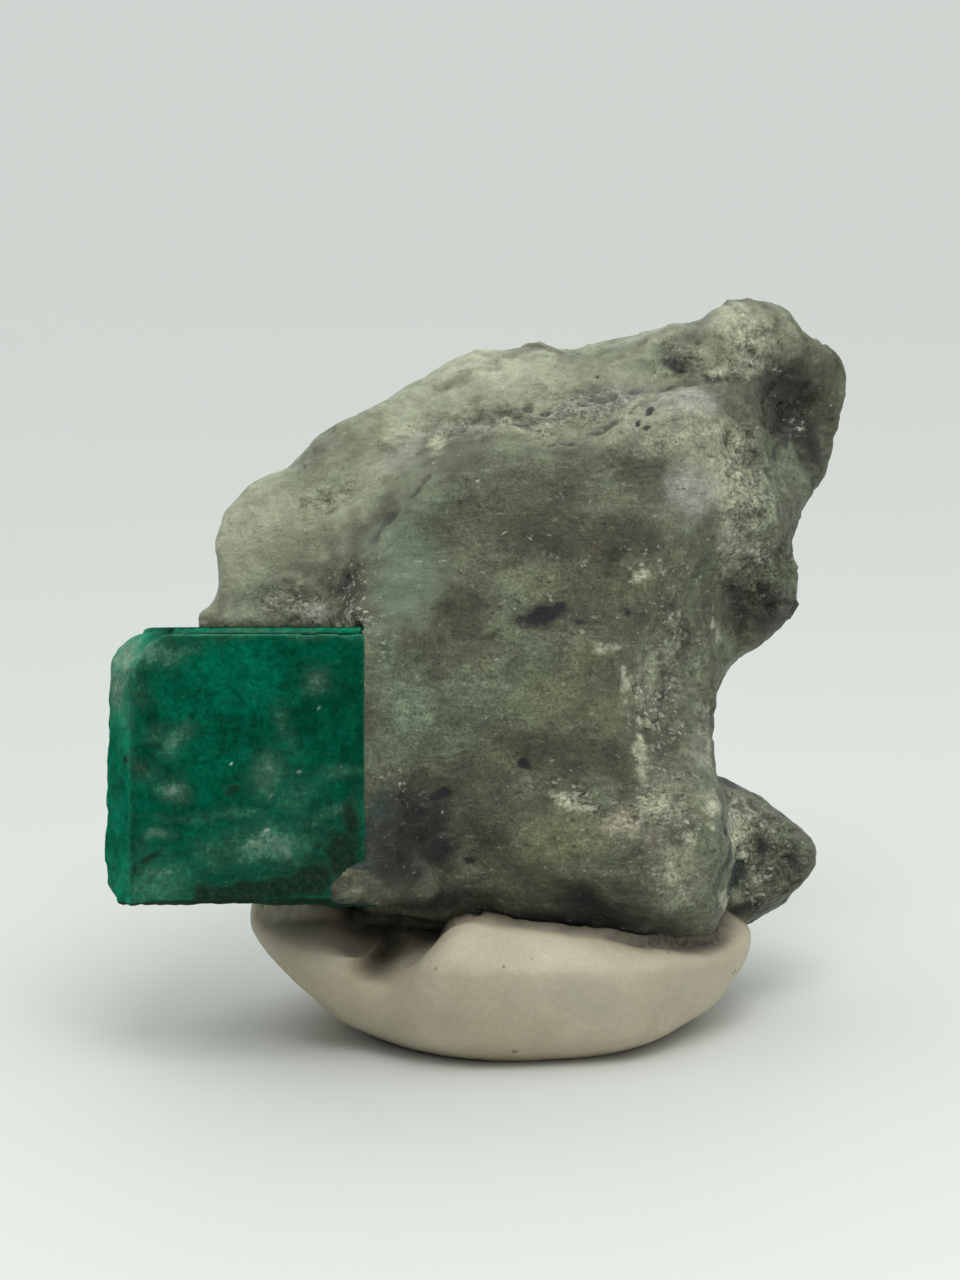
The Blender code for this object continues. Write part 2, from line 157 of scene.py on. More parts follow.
def closeness(surface, places, normals):
    """From 1 to 0: how much each place faces the surface across a gap of up to GAP_REACH."""
    points, _, distances = nearest(surface, places)
    towards = np.einsum("ij,ij->i", normals, points - places) / np.maximum(distances, 1e-6)
    near = 1.0 - smoothstep(GAP_REACH, 2.0 * GAP_REACH, distances)
    return near * smoothstep(0.05, 0.5, towards)


def pressed(surface, places, share):
    """The places moved to the surface, and slightly into it, by their share."""
    points, facings, _ = nearest(surface, places)
    return places + share[:, None] * (points - SINK * facings - places)


def paint(mesh, name, layers):
    """Stores three or four layers, such as masks, each from 0 to 1, as one colour attribute."""
    table = np.ones((len(mesh.vertices), 4), dtype=np.float32)
    for index, layer in enumerate(layers):
        table[:, index] = np.clip(layer, 0.0, 1.0)
    attribute = mesh.attributes.new(name, "FLOAT_COLOR", "POINT")
    attribute.data.foreach_set("color", table.ravel())


def add_piece(name, mesh, material, node):
    """The finished piece, back in the model's frame, riding on the part for its CAD node."""
    mesh.transform(LEAN @ Matrix.Scale(MM, 4))
    mesh.shade_smooth()
    mesh.materials.clear()
    mesh.materials.append(material)
    piece = add_object(name, mesh)
    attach(piece, "root")
    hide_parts(node)


# ---- helpers: fields over a mesh --------------------------------------------------------


def smoothstep(low, high, value):
    share = np.clip((value - low) / (high - low), 0.0, 1.0)
    return share * share * (3.0 - 2.0 * share)


def within(value, rise, fall):
    """From 0 to 1 over the range of the rise, and back to 0 over that of the fall."""
    return smoothstep(*rise, value) * (1.0 - smoothstep(*fall, value))


def fading(distance, reach):
    """1 at no distance, and less further off, within about twice the reach."""
    return np.exp(-((distance / reach) ** 2))


def smooth_noise(places, wave, seed):
    """Noise from about -1 to 1 that turns over each wave of millimetres."""
    return np.fromiter(map(noise.noise, (places / wave + seed).tolist()), float, len(places))


def waves(places, layers):
    """A sum of smooth noises, as (height, wave, seed)."""
    return sum(height * smooth_noise(places, wave, seed) for height, wave, seed in layers)


def along_foliation(places, stretch):
    """The places squeezed along the foliation, so that noise of them streaks along it."""
    turn = math.radians(FOLIATION_DEG)
    across = np.array([math.cos(turn), 0.0, math.sin(turn)])
    run = places @ across
    return places - np.outer(run * (1.0 - 1.0 / stretch), across)


def soft_spots(places, spots):
    """How far each place lies in soft spots, as (x, z, radius along, radius across, strength)
    and, for those that lie turned, their turn in degrees."""
    total = np.zeros(len(places))
    for x, z, along, across, strength, *turn in spots:
        angle = math.radians(sum(turn))
        dx, dz = places[:, 0] - x, places[:, 2] - z
        u = (dx * math.cos(angle) + dz * math.sin(angle)) / along
        v = (dz * math.cos(angle) - dx * math.sin(angle)) / across
        total = np.maximum(total, strength * np.exp(-(u * u + v * v)))
    return total


def dents(places, pits):
    """Depth of the pits at each place, as (x, z, radius, depth)."""
    total = np.zeros(len(places))
    for x, z, radius, depth in pits:
        total += depth * fading(np.hypot(places[:, 0] - x, places[:, 2] - z), radius)
    return total


def wandered(places, steps):
    """The places pushed about by noise, as (wave, distance) steps, for ragged outlines."""
    moved = places.copy()
    for wave, distance in steps:
        for axis in range(3):
            moved[:, axis] += distance * smooth_noise(places, wave, 10.0 * axis + wave)
    return moved


def facet_height(places, size, seed):
    """Height of a surface broken into small tilted facets of this size."""
    heights = np.empty(len(places))
    for index, row in enumerate((places / size + seed).tolist()):
        heart = noise.voronoi(row)[1][0]
        heights[index] = (Vector(row) - heart).dot(noise.noise_vector(heart * 7.31))
    return heights * size


def distance_to_line(places, line):
    """Distance in x and z from a line of (x, z) points."""
    flat = places[:, [0, 2]]
    best = np.full(len(places), 1e9)
    for start, end in zip(line, line[1:]):
        start, along = np.array(start), np.array(end) - np.array(start)
        share = np.clip((flat - start) @ along / (along @ along), 0.0, 1.0)
        away = np.linalg.norm(flat - start - np.outer(share, along), axis=1)
        best = np.minimum(best, away)
    return best


def distance_to_cracks(places):
    return np.min([distance_to_line(places, line) for line in CRACKS], axis=0)


# ---- helpers: materials -----------------------------------------------------------------


def set_inputs(node, values):
    """Sets the node's inputs to these numbers, or links these sockets to them."""
    for key, value in values.items():
        if isinstance(value, bpy.types.NodeSocket):
            value.id_data.links.new(value, node.inputs[key])
        else:
            node.inputs[key].default_value = value


def add_node(tree, kind, values, **settings):
    """A node with these settings and inputs. A socket's id_data is the tree that it is in."""
    made = tree.nodes.new(kind)
    for name, value in settings.items():
        setattr(made, name, value)
    set_inputs(made, values)
    return made


def new_material(name):
    """A material, its shader, and the specimen's coordinates in millimetres."""
    material = bpy.data.materials.new(name)
    material.use_nodes = True
    tree = material.node_tree
    values = {
        "Vector": add_node(tree, "ShaderNodeTexCoord", {}).outputs["Object"],
        "Rotation": (math.radians(LEAN_DEG), 0.0, 0.0),
        "Scale": (1.0 / MM,) * 3,
    }
    place = add_node(tree, "ShaderNodeMapping", values).outputs[0]
    return material, tree.nodes["Principled BSDF"], place


def noise_value(place, scale, detail=4.0, roughness=0.55, distortion=0.0):
    values = {
        "Vector": place, "Scale": scale, "Detail": detail, "Roughness": roughness,
        "Distortion": distortion,
    }
    return add_node(place.id_data, "ShaderNodeTexNoise", values).outputs[0]


def cells(place, scale):
    """A texture of cells: the distance from each one's heart, and its own colour."""
    return add_node(place.id_data, "ShaderNodeTexVoronoi", {"Vector": place, "Scale": scale}).outputs


def jittered(place, scale, distance):
    """The coordinates pushed about by noise, which breaks up the straight edges of cells."""
    tree = place.id_data
    push = add_node(tree, "ShaderNodeTexNoise", {"Vector": place, "Scale": scale, "Detail": 3.0})
    values = {0: push.outputs["Color"], 1: (2.0 * distance,) * 3, 2: place}
    return add_node(tree, "ShaderNodeVectorMath", values, operation="MULTIPLY_ADD").outputs[0]


def stretched(place, turn_deg, scale):
    """The coordinates turned about Y and scaled, for streaks."""
    values = {"Vector": place, "Rotation": (0.0, math.radians(turn_deg), 0.0), "Scale": scale}
    return add_node(place.id_data, "ShaderNodeMapping", values).outputs[0]


def between(value, low, high, start=0.0, end=1.0):
    """start below low, end above high, and smooth between."""
    values = {"Value": value, "From Min": low, "From Max": high, "To Min": start, "To Max": end}
    settings = {"interpolation_type": "SMOOTHSTEP"}
    return add_node(value.id_data, "ShaderNodeMapRange", values, **settings).outputs[0]


def arithmetic(operation, first, second):
    values = {0: first, 1: second}
    return add_node(first.id_data, "ShaderNodeMath", values, operation=operation).outputs[0]


def times(first, second):
    return arithmetic("MULTIPLY", first, second)


def plus(first, *others):
    """The first plus the others, each of them times its share, as (socket, share)."""
    for other, share in others:
        first = arithmetic("ADD", first, times(other, share))
    return first


def largest(first, *others):
    for other in others:
        first = arithmetic("MAXIMUM", first, other)
    return first


def opaque_colour(colour):
    """A colour's socket as it is, or three numbers with an alpha of 1."""
    return colour if isinstance(colour, bpy.types.NodeSocket) else (*colour, 1.0)


def mixed(factor, first, second):
    """Colour that goes from first to second by factor."""
    values = {0: factor, 6: opaque_colour(first), 7: opaque_colour(second)}
    return add_node(factor.id_data, "ShaderNodeMix", values, data_type="RGBA").outputs[2]


def shaded(colour, shade):
    """The colour times the shade."""
    settings = {"data_type": "RGBA", "blend_type": "MULTIPLY"}
    values = {0: 1.0, 6: colour, 7: shade}
    return add_node(colour.id_data, "ShaderNodeMix", values, **settings).outputs[2]


def masks(material, name):
    """The four masks of a colour attribute."""
    tree = material.node_tree
    attribute = add_node(tree, "ShaderNodeAttribute", {}, attribute_name=name)
    parts = add_node(tree, "ShaderNodeSeparateColor", {0: attribute.outputs["Color"]})
    return (*parts.outputs, attribute.outputs["Alpha"])


def ragged(mask, texture, depth, low, high):
    """The mask with its edges broken up by a texture."""
    total = plus(mask, (arithmetic("SUBTRACT", texture, 0.5), depth))
    return times(between(total, low, high), between(mask, 0.02, 0.2))


def bumped(height, distance, strength):
    """The surface's direction under a bump of this distance in millimetres."""
    values = {"Height": height, "Distance": distance * MM, "Strength": strength}
    return add_node(height.id_data, "ShaderNodeBump", values).outputs[0]


# ---- emerald ----------------------------------------------------------------------------

# Soft patches of the crystal's front, in the form that soft_spots takes
VEILS = (
    (-12.8, 12.1, 0.7, 1, 1), (-13.1, 11.2, 0.5, 1, 1), (-11.8, 12.2, 0.8, 0.5, 0.8, 20),
    (-11, 12.5, 0.9, 0.2, 0.45, 10), (-12.9, 10.1, 0.3, 1, 0.5), (-12.1, 11, 0.4, 0.5, 0.35),
    (-6.53, 11.4, 0.5, 0.4, 0.8, 30), (-7.7, 10.2, 0.3, 0.6, 0.35, 15), (-7.3, 9.5, 0.25, 0.5, 0.35, 10),
    (-11.05, 9.5, 0.6, 0.35, 0.7, 30), (-11.7, 9.8, 0.5, 0.3, 0.35, 20), (-11.24, 8.05, 0.4, 0.35, 0.85),
    (-12.2, 8.6, 0.6, 0.35, 0.5, -25), (-8.16, 8.45, 0.5, 0.75, 0.7, -15), (-7.2, 7.8, 0.8, 0.6, 0.35),
    (-9.1, 7.1, 1.4, 0.22, 0.4), (-10.9, 7, 0.8, 0.15, 0.35, -5), (-11.7, 6.6, 0.42, 0.16, 1, -5),
    (-8.2, 6.25, 1.6, 0.6, 0.8, 8), (-7.85, 6.15, 0.75, 0.55, 1), (-7.9, 6.2, 1, 0.7, 0.8),
    (-9.9, 5.8, 0.8, 0.5, 0.4), (-11.8, 5, 1.5, 0.8, 0.55), (-11.5, 4.45, 0.7, 0.3, 0.5),
    (-5.8, 7.4, 0.6, 0.2, 0.6, 15), (-5.9, 8.5, 0.8, 0.3, 0.4, 15), (-6.6, 7.1, 0.8, 0.3, 0.35, 10),
    (-6.05, 5.4, 0.4, 0.4, 0.5), (-9.3, 12.75, 0.5, 0.12, 0.4), (-12.1, 5.9, 0.4, 0.7, 0.25),
    (-9, 12.95, 4, 0.12, 0.45),
)
BRIGHT_PATCHES = (
    (-9.4, 11.8, 1.9, 1.1, 0.9), (-10.8, 10.7, 1, 0.8, 0.6), (-8, 12.1, 1.6, 0.5, 0.4),
    (-9.6, 8.8, 1, 0.9, 0.45), (-12, 7.4, 0.8, 0.8, 0.45), (-9.9, 6.9, 1, 0.5, 0.4),
    (-12.7, 12, 0.8, 1, 0.8), (-11.8, 4.9, 1.2, 0.7, 0.5),
)
DEEP_PATCHES = (
    (-8.8, 10, 1.3, 0.8, 0.7, 15), (-5.8, 11, 0.9, 2.4, 0.8), (-11.9, 10.4, 0.3, 1.2, 0.6, 10),
    (-11.2, 7.4, 0.9, 0.5, 0.8), (-6, 6.6, 1, 1.2, 1), (-7.6, 12.2, 0.8, 0.4, 0.4),
    (-9, 7.6, 0.8, 0.3, 0.4), (-7, 5.1, 1.4, 0.7, 1, 8), (-9, 4.8, 1.6, 0.5, 0.8, 8),
    # (-9, 12.98) is painted shade: it darkens the band along the top edge, which the light from above
    # brightens.
    (-5.2, 8.6, 0.35, 4.5, 1), (-9, 12.98, 5, 0.16, 1), (-10.4, 6.3, 0.7, 0.35, 0.5),
)
BROWN_PATCHES = (
    (-9.9, 4.5, 0.9, 0.4, 1, 8), (-8.9, 4.65, 1.1, 0.5, 1, 8), (-7.7, 4.8, 1.1, 0.55, 0.9, 8),
    (-6.7, 5.1, 0.9, 0.75, 0.9), (-5.8, 5.9, 0.7, 1, 0.9), (-5.3, 7, 0.35, 1.1, 0.75),
    (-12.2, 8.65, 0.4, 0.35, 0.45), (-10.6, 4.25, 0.7, 0.2, 0.9), (-8.4, 5.3, 1.2, 0.3, 0.3, 12),
)
DARK_SPECKS = (
    (-9.3, 7.95, 0.3, 0.2, 1, 30), (-11.9, 5.8, 0.4, 0.16, 1, 30), (-12.4, 5.4, 0.15, 0.15, 1),
    (-9.05, 8.1, 0.12, 0.1, 0.8), (-11.85, 5.85, 0.2, 0.14, 1, 30), (-12.12, 5.68, 0.2, 0.11, 1, 20),
    (-12.42, 5.45, 0.12, 0.1, 1, 60), (-12.3, 5.22, 0.14, 0.07, 1), (-12.75, 8.95, 0.16, 0.22, 0.8),
    (-10.9, 10.9, 0.08, 0.06, 0.8), (-11.9, 9.9, 0.1, 0.06, 0.6, 20), (-12, 11.15, 0.1, 0.06, 0.6),
    (-10.3, 11.6, 0.06, 0.05, 0.6), (-7.1, 6, 0.08, 0.06, 0.6),
)
# Glints: painted highlights, small white spots of light on the front
GLINTS = (
    (-7.14, 8.54, 0.045, 0.045, 0.9), (-8.16, 6.67, 0.055, 0.055, 1), (-9.32, 8.8, 0.035, 0.035, 0.8),
    (-8.05, 7.75, 0.035, 0.035, 0.8), (-6.5, 10.6, 0.035, 0.035, 0.6), (-11.3, 5.3, 0.035, 0.035, 0.6),
)

# The upper left corner, as it is rounded and as it is painted
CORNER_ROUNDED = ((-12.7, 12.6, 1.1, 1.1, 1),)
CORNER_PAINTED = ((-12.7, 12.3, 1.2, 1.3, 1),)
CORNER_PASSES = 60

# The left front edge, worn round below the corner, as ranges of -x and of z in which it rises
# and falls away, and where it stays free of chips
LEFT_EDGE_X = (11.8, 12.3), (13.0, 13.4)
LEFT_EDGE_Z = (4.5, 5.5), (10.5, 12.0)
LEFT_EDGE_PASSES = 250
UNCHIPPED_X = (11.7, 12.2), (13.0, 13.4)

EDGE_CHIP_WAVE = 0.6
EDGE_CHIP_DEPTH = 0.05
LEFT_CHIP_DEPTH = 0.14
EDGE_CHIP_REACH = 0.2
EDGE_WEAR_REACH = 0.07

# Fine relief of the left faces, the broken foot and the other faces, as (height, wave, seed)
LEFT_WAVES = (0.07, 0.9, 3.0), (0.03, 0.3, 5.0)
FOOT_WAVES = (0.1, 0.8, 11.0), (0.05, 0.3, 13.0)
FACE_WAVES = (0.012, 2.2, 17.0), (0.006, 0.5, 19.0)

# How the outlines of the flaws and of the specks wander, as (wave, distance)
FLAW_STEPS = (1.3, 0.35), (0.4, 0.15)
SPECK_STEPS = ((0.3, 0.06),)

# Colours of the crystal, of the flaws in it, of the specks on it and of the painted highlights at its
# glints
DULL_GREENS = (0.0, 0.155, 0.083), (0.0, 0.235, 0.128)
BRIGHT_GREEN = (0.0, 0.34, 0.18)
DEEP_GREEN = (0.0, 0.12, 0.062)
THREAD_GREEN = (0.06, 0.26, 0.17)
VEIL_GREEN = (0.155, 0.24, 0.18)
FLECK_GREEN = (0.30, 0.40, 0.32)
SPARK_GREEN = (0.10, 0.32, 0.21)
STAIN_COLOURS = (0.008, 0.020, 0.013), (0.028, 0.046, 0.03)
SPECK_COLOUR = (0.014, 0.022, 0.015)
WORN_GREEN = (0.06, 0.22, 0.15)
GLINT_COLOUR = (0.9, 0.95, 0.9)
DEPTH_COLOUR = (0.02, 0.72, 0.42, 1.0)
DEPTH_DENSITY = 260.0


def crystal_sides():
    """The crystal's six upright faces as (a point on it, the way it faces), in x and y."""
    return (
        ((FRONT_LEFT_X, FRONT_Y), (0.0, -1.0)),
        ((FRONT_RIGHT_X, FRONT_Y), (0.866, -0.5)),
        ((-3.05, -4.04), (0.866, 0.5)),
        ((-5.05, -0.57), (0.0, 1.0)),
        ((-13.65, -5.51), (-0.866, 0.5)),
        ((FRONT_LEFT_X, FRONT_Y), (-0.866, -0.5)),
    )


def edge_nearness(places):
    """Distance from the nearest of the crystal's edges, judged by its two nearest faces."""
    depths = [CRYSTAL_TOP - places[:, 2], places[:, 2] - CRYSTAL_FOOT]
    for point, facing in crystal_sides():
        depths.append(-(places[:, :2] - np.array(point)) @ np.array(facing))
    return np.sort(np.abs(np.array(depths)), axis=0)[1]


def emerald_mesh():
    mesh = softened(remeshed(solid_mesh("emerald_crystal"), CRYSTAL_DETAIL), 1)
    mesh = softened(mesh, CORNER_PASSES, soft_spots(places_and_normals(mesh)[0], CORNER_ROUNDED))
    x, _, z = places_and_normals(mesh)[0].T
    mesh = softened(mesh, LEFT_EDGE_PASSES, within(-x, *LEFT_EDGE_X) * within(z, *LEFT_EDGE_Z))
    places, normals = places_and_normals(mesh)
    x, _, z = places.T
    edge = edge_nearness(places)

    chips = smoothstep(0.05, 0.45, smooth_noise(places, EDGE_CHIP_WAVE, 7.0))
    free = 1.0 - smoothstep(-7.0, -5.8, x) * smoothstep(0.3, 0.6, CRYSTAL_TOP - z)
    free *= 1.0 - within(-x, *UNCHIPPED_X) * (1.0 - smoothstep(*LEFT_EDGE_Z[1], z))
    left = 1.0 - smoothstep(-13.1, -12.4, x)
    chips *= EDGE_CHIP_DEPTH + (LEFT_CHIP_DEPTH - EDGE_CHIP_DEPTH) * left
    chips *= free * fading(edge, EDGE_CHIP_REACH)
    foot = 1.0 - smoothstep(CRYSTAL_FOOT + 0.1, CRYSTAL_FOOT + 0.5, z)
    height = waves(places, FACE_WAVES) + left * waves(places, LEFT_WAVES)
    height += foot * waves(places, FOOT_WAVES) - chips
    places += normals * height[:, None]
    move_to(mesh, places)

    towards_front = -normals[:, 1]
    corner = soft_spots(places, CORNER_PAINTED)
    front = smoothstep(0.3, 0.7, towards_front) + smoothstep(0.6, 0.9, -normals[:, 0])
    front = np.clip(front + corner * smoothstep(-0.2, 0.2, towards_front), 0.0, 1.0)
    spread = wandered(places, FLAW_STEPS)
    elsewhere = (1.0 - front) * smoothstep(0.0, 0.5, smooth_noise(places, 1.9, 23.0))
    # The side faces, and most of all those facing up, take more of the light: painted shade darkens them,
    # and their veils thin out below the corner.
    shaded_side = (1.0 - smoothstep(0.45, 0.98, towards_front)) * (1.0 - 0.8 * corner)
    below_corner = 1.0 - smoothstep(9.5, 11.5, z)
    veil = front * soft_spots(spread, VEILS) * (1.0 - 0.75 * shaded_side * below_corner) + 0.35 * elsewhere
    wear_and_shade = free * fading(edge, EDGE_WEAR_REACH)
    wear_and_shade *= smoothstep(-0.1, 0.5, smooth_noise(places, 0.4, 29.0))
    foot_brown = foot * smoothstep(0.2, 0.8, -normals[:, 2])
    paint(mesh, "flaws_and_glints", (
        veil,
        np.maximum(front * soft_spots(spread, BROWN_PATCHES), foot_brown),
        front * soft_spots(wandered(places, SPECK_STEPS), DARK_SPECKS),
        front * soft_spots(places, GLINTS),
    ))
    # Its last layer is the painted shade of the side faces, strongest on those that face up.
    paint(mesh, "depth", (
        front * soft_spots(spread, BRIGHT_PATCHES),
        front * soft_spots(spread, DEEP_PATCHES),
        wear_and_shade,
        shaded_side * (0.38 + 0.62 * smoothstep(0.2, 0.6, normals[:, 2])),
    ))
    return mesh


def emerald_material():
    material, shader, place = new_material("emerald")
    veil, brown, speck, glint = masks(material, "flaws_and_glints")
    bright, deep, wear_and_shade, shaded_side = masks(material, "depth")
    height = add_node(place.id_data, "ShaderNodeSeparateXYZ", {0: place}).outputs[2]
    low = between(height, 4.3, 9.0, 1.0, 0.0)

    cloud = noise_value(place, 0.6, 5.0, 0.6, 0.6)
    medium = noise_value(place, 2.2, 5.0, 0.65, 0.5)
    fine = noise_value(place, 6.5, 6.0, 0.7, 0.4)
    fibre = noise_value(stretched(place, 12.0, (1.1, 2.0, 5.5)), 1.0, 6.0, 0.7, 0.5)

    green = mixed(between(cloud, 0.35, 0.65), *DULL_GREENS)
    green = mixed(times(bright, 0.85), green, BRIGHT_GREEN)
    green = mixed(times(deep, 0.75), green, DEEP_GREEN)
    green = shaded(green, between(medium, 0.3, 0.7, 0.66, 1.34))
    green = shaded(green, between(fine, 0.3, 0.7, 0.72, 1.32))
    thread = times(between(fibre, 0.52, 0.72), between(low, 0.0, 1.0, 0.25, 0.8))
    thread = times(thread, between(shaded_side, 0.0, 0.4, 1.0, 0.3))
    green = mixed(thread, green, THREAD_GREEN)

    texture = plus(times(medium, 0.35), (fine, 0.35), (fibre, 0.3))
    wisp = times(veil, between(texture, 0.35, 0.65, 0.55, 1.15))
    colour = mixed(times(wisp, 0.88), green, VEIL_GREEN)
    fleck = between(plus(texture, (veil, 0.12)), 0.58, 0.72)
    fleck = times(fleck, between(veil, 0.0, 0.5))
    colour = mixed(times(fleck, 0.85), colour, FLECK_GREEN)
    spark = times(between(fine, 0.62, 0.7), between(fibre, 0.45, 0.6))
    colour = mixed(times(spark, 0.6), colour, SPARK_GREEN)
    stain = between(times(brown, between(texture, 0.38, 0.62, 0.85, 1.1)), 0.05, 0.7)
    stain_colour = mixed(between(fine, 0.4, 0.65), *STAIN_COLOURS)
    colour = mixed(times(stain, 0.95), colour, stain_colour)
    speck = ragged(speck, fine, 2.2, 0.3, 0.8)
    colour = mixed(times(speck, 0.9), colour, SPECK_COLOUR)
    colour = mixed(times(wear_and_shade, 0.25), colour, WORN_GREEN)
    # Painted shade on the side faces, darkest on the top faces, less where veiled.
    colour = shaded(colour, between(plus(shaded_side, (veil, -0.9)), 0.0, 1.0, 1.0, 0.1))
    # Painted highlights at the glints
    colour = mixed(glint, colour, GLINT_COLOUR)

    opaque = largest(wisp, stain, wear_and_shade, glint, speck, between(shaded_side, 0.0, 0.38))
    set_inputs(shader, {
        "Base Color": colour,
        "Transmission Weight": between(opaque, 0.0, 1.0, 0.62, 0.08),
        "Roughness": plus(between(fine, 0.3, 0.7, 0.1, 0.22), (opaque, 0.25)),
        "IOR": 1.58,
        "Specular IOR Level": 0.0,
        "Specular Tint": (0.25, 0.8, 0.6, 1.0),
        "Subsurface Weight": 0.35,
        "Subsurface Radius": (0.3, 1.0, 0.6),
        "Subsurface Scale": 0.8 * MM,
        "Normal": bumped(plus(fine, (fibre, 0.6)), 0.03, 0.5),
    })
    values = {"Color": DEPTH_COLOUR, "Density": DEPTH_DENSITY}
    depth = add_node(material.node_tree, "ShaderNodeVolumeAbsorption", values)
    set_inputs(material.node_tree.nodes["Material Output"], {"Volume": depth.outputs[0]})
    return material


# ---- rock -------------------------------------------------------------------------------

# Lumps beside the crystal's right corners, as (x, y, z, radius)
FOOT_LUMPS = (
    (-5.8, -7.2, 4.75, 0.55), (-5.15, -6.95, 5.0, 0.85), (-4.5, -6.75, 4.9, 0.8),
    (-3.8, -6.35, 4.9, 0.75), (-3.2, -6.0, 4.8, 0.7), (-4.5, -6.9, 6.2, 0.7), (-4.5, -6.9, 7.2, 0.7),
    (-3.8, -6.15, 13.0, 1.25), (-3.2, -5.6, 14.0, 1.2),
)

# Beads of stone that close the rock's foot onto the crystal's top: their spread in x and their
# step, the height of the rock that they follow, how far behind it they lie, their own height,
# their radius, and how much both waver
BEADS_X = (-10.45, -5.2)
BEADS_STEP = 0.25
BEADS_FOLLOW_Z = 13.85
BEADS_BEHIND = 0.32
BEADS_Z = 13.42
BEADS_RADIUS = 0.52
BEADS_WOBBLE = 0.08

# A block of rock that closes the socket along the crystal's right front edge: its low and
# high corners
EDGE_BLOCK = (-5.16, -7.45, 5.0), (-4.1, -6.3, 13.2)

# Colours of the rock
SAGE = (0.155, 0.174, 0.108)
DULL_SAGE = (0.108, 0.112, 0.07)
PALE_STONE = (0.32, 0.34, 0.235)
CREAM = (0.43, 0.44, 0.32)
GREEN = (0.14, 0.188, 0.118)
PALE_GREEN = (0.26, 0.31, 0.21)
YELLOW_OLIVE = (0.195, 0.205, 0.105)
LILAC = (0.34, 0.335, 0.285)
BROWN = (0.072, 0.067, 0.04)
DARK = (0.02, 0.023, 0.018)
SHADED = (0.05, 0.052, 0.042)
TEAL = (0.026, 0.044, 0.034)
PINK = (0.40, 0.355, 0.26)
CRUST = (0.46, 0.465, 0.33)
CRUMB = (0.60, 0.62, 0.50)
DARK_LEAF = (0.045, 0.043, 0.028)
GAP_COLOUR = (0.035, 0.033, 0.024)
INK_COLOUR = (0.012, 0.012, 0.018)
CRACK_COLOUR = (0.045, 0.044, 0.04)

# Coats of colour on the front, in the form that soft_spots takes: first on the slab above the
# crystal and the top, then on the central mass, the right flank and the knob at the lower right
PALE_STONE_COAT = (
    (-8.8, 15.6, 2.2, 2.6, 1), (-6.4, 17.6, 3, 1.4, 1, 35), (-3.6, 20.3, 3.4, 1, 1, 28),
    (0, 21.3, 4, 1, 0.9, 10), (4.5, 22, 3.5, 0.9, 0.8, 5), (7.8, 22.8, 1.5, 0.8, 1, -20),
    (3.4, 20.2, 3.6, 0.8, 0.8, 8), (6.5, 18.6, 1.6, 2, 0.9), (7.8, 17, 0.9, 2.4, 0.9),
    (6, 9, 0.8, 2, 0.5), (4.6, 7.6, 1.4, 1.2, 0.7), (4.8, 11.4, 1.4, 1.8, 0.6),
    (5.3, 5.2, 1.2, 1.1, 0.75), (7.9, 5.6, 1.2, 1.8, 0.6), (-6.5, 15.7, 1, 1.3, 0.6),
    (-6.9, 13.7, 0.7, 0.4, 1), (-9, 13.7, 1.4, 0.6, 0.8), (-8.6, 13.15, 3.4, 0.25, 1),
    (-0.2, 11.2, 1.6, 1.4, 0.3), (-6.05, 5.33, 0.3, 0.3, 0.8), (-4.75, 5, 0.45, 0.3, 0.6),
    (-3.9, 21.2, 3.4, 0.7, 0.8, 28), (2, 23, 3.5, 0.5, 0.7, 8), (8.6, 23.3, 1, 0.8, 0.7, -40),
    (-10.4, 15.5, 0.6, 2.4, 0.9), (-8.6, 18.2, 2, 0.6, 0.8, 40),
)
GREEN_COAT = (
    (-3.7, 15.1, 1.4, 1.6, 1), (-4.6, 16.2, 0.6, 1.2, 0.8, 10), (-2.9, 17, 1.6, 0.7, 0.6, 35),
    (-3.6, 10.6, 1.2, 1.8, 0.8), (-1.4, 10.6, 1.4, 1.5, 0.5), (-4.4, 12.6, 0.6, 0.9, 0.7),
    (6.6, 5.6, 0.5, 1.4, 0.5), (8.6, 18, 0.7, 1.6, 0.35), (3.2, 22.8, 2.2, 0.4, 0.4, 8),
    (-8.8, 14.3, 1, 0.8, 0.35), (4.6, 22.1, 1.2, 0.5, 0.6), (-0.2, 11.2, 1.6, 1.6, 0.6),
)
PALE_GREEN_COAT = (
    (-6.3, 18.4, 2.3, 0.7, 0.3, 35), (-3.3, 20.7, 3.1, 0.8, 0.3, 25), (-8.8, 14.4, 1, 1.3, 0.5),
    (-4.7, 16, 0.5, 1.2, 0.4, 10), (-3.4, 10.8, 1.3, 1.6, 0.35), (-1.9, 11.4, 1.6, 1.2, 0.25),
    (8.3, 18.1, 0.6, 1.7, 0.5), (9.2, 18.4, 0.8, 1.2, 0.4, -20), (5.6, 11.2, 0.8, 1.2, 0.3),
)
CREAM_COAT = (
    (-9.6, 16, 1.2, 1.6, 0.8, 5), (-8.5, 16.8, 1.4, 1.2, 0.6, 20), (-1.3, 21.6, 2.1, 0.6, 0.7, 12),
    (-3.5, 20.8, 1.4, 0.4, 0.5, 28), (-2.6, 19.4, 0.4, 0.45, 0.8), (0, 19.9, 2, 0.3, 0.55, 12),
    (4.9, 19.4, 1.5, 0.7, 0.55), (6.3, 19.3, 1, 1.3, 0.5), (7.6, 23, 1.3, 0.6, 0.6, -20),
    (4.7, 22.6, 2.1, 0.4, 0.35, 5), (7.3, 18.3, 0.5, 1.6, 0.7), (7.2, 16.2, 0.6, 1.6, 0.7),
    (4.7, 7.8, 0.9, 0.8, 0.4), (-9.9, 14.8, 0.6, 1.2, 0.5), (7.9, 22.3, 0.9, 0.5, 0.6),
    (7.4, 23.7, 1.4, 0.6, 0.6, -15), (-1.5, 22.3, 2.2, 0.5, 0.7, 12), (4.9, 23.2, 1.8, 0.35, 0.5, 5),
    (-5.55, 4.62, 0.35, 0.25, 0.9), (5, 5.6, 0.8, 0.6, 0.4), (7.3, 6.4, 0.4, 0.8, 0.8),
    (7.4, 3.8, 0.3, 0.35, 0.7), (9.75, 20, 0.3, 0.35, 0.7), (-8.6, 13.1, 3.3, 0.1, 0.6),
)
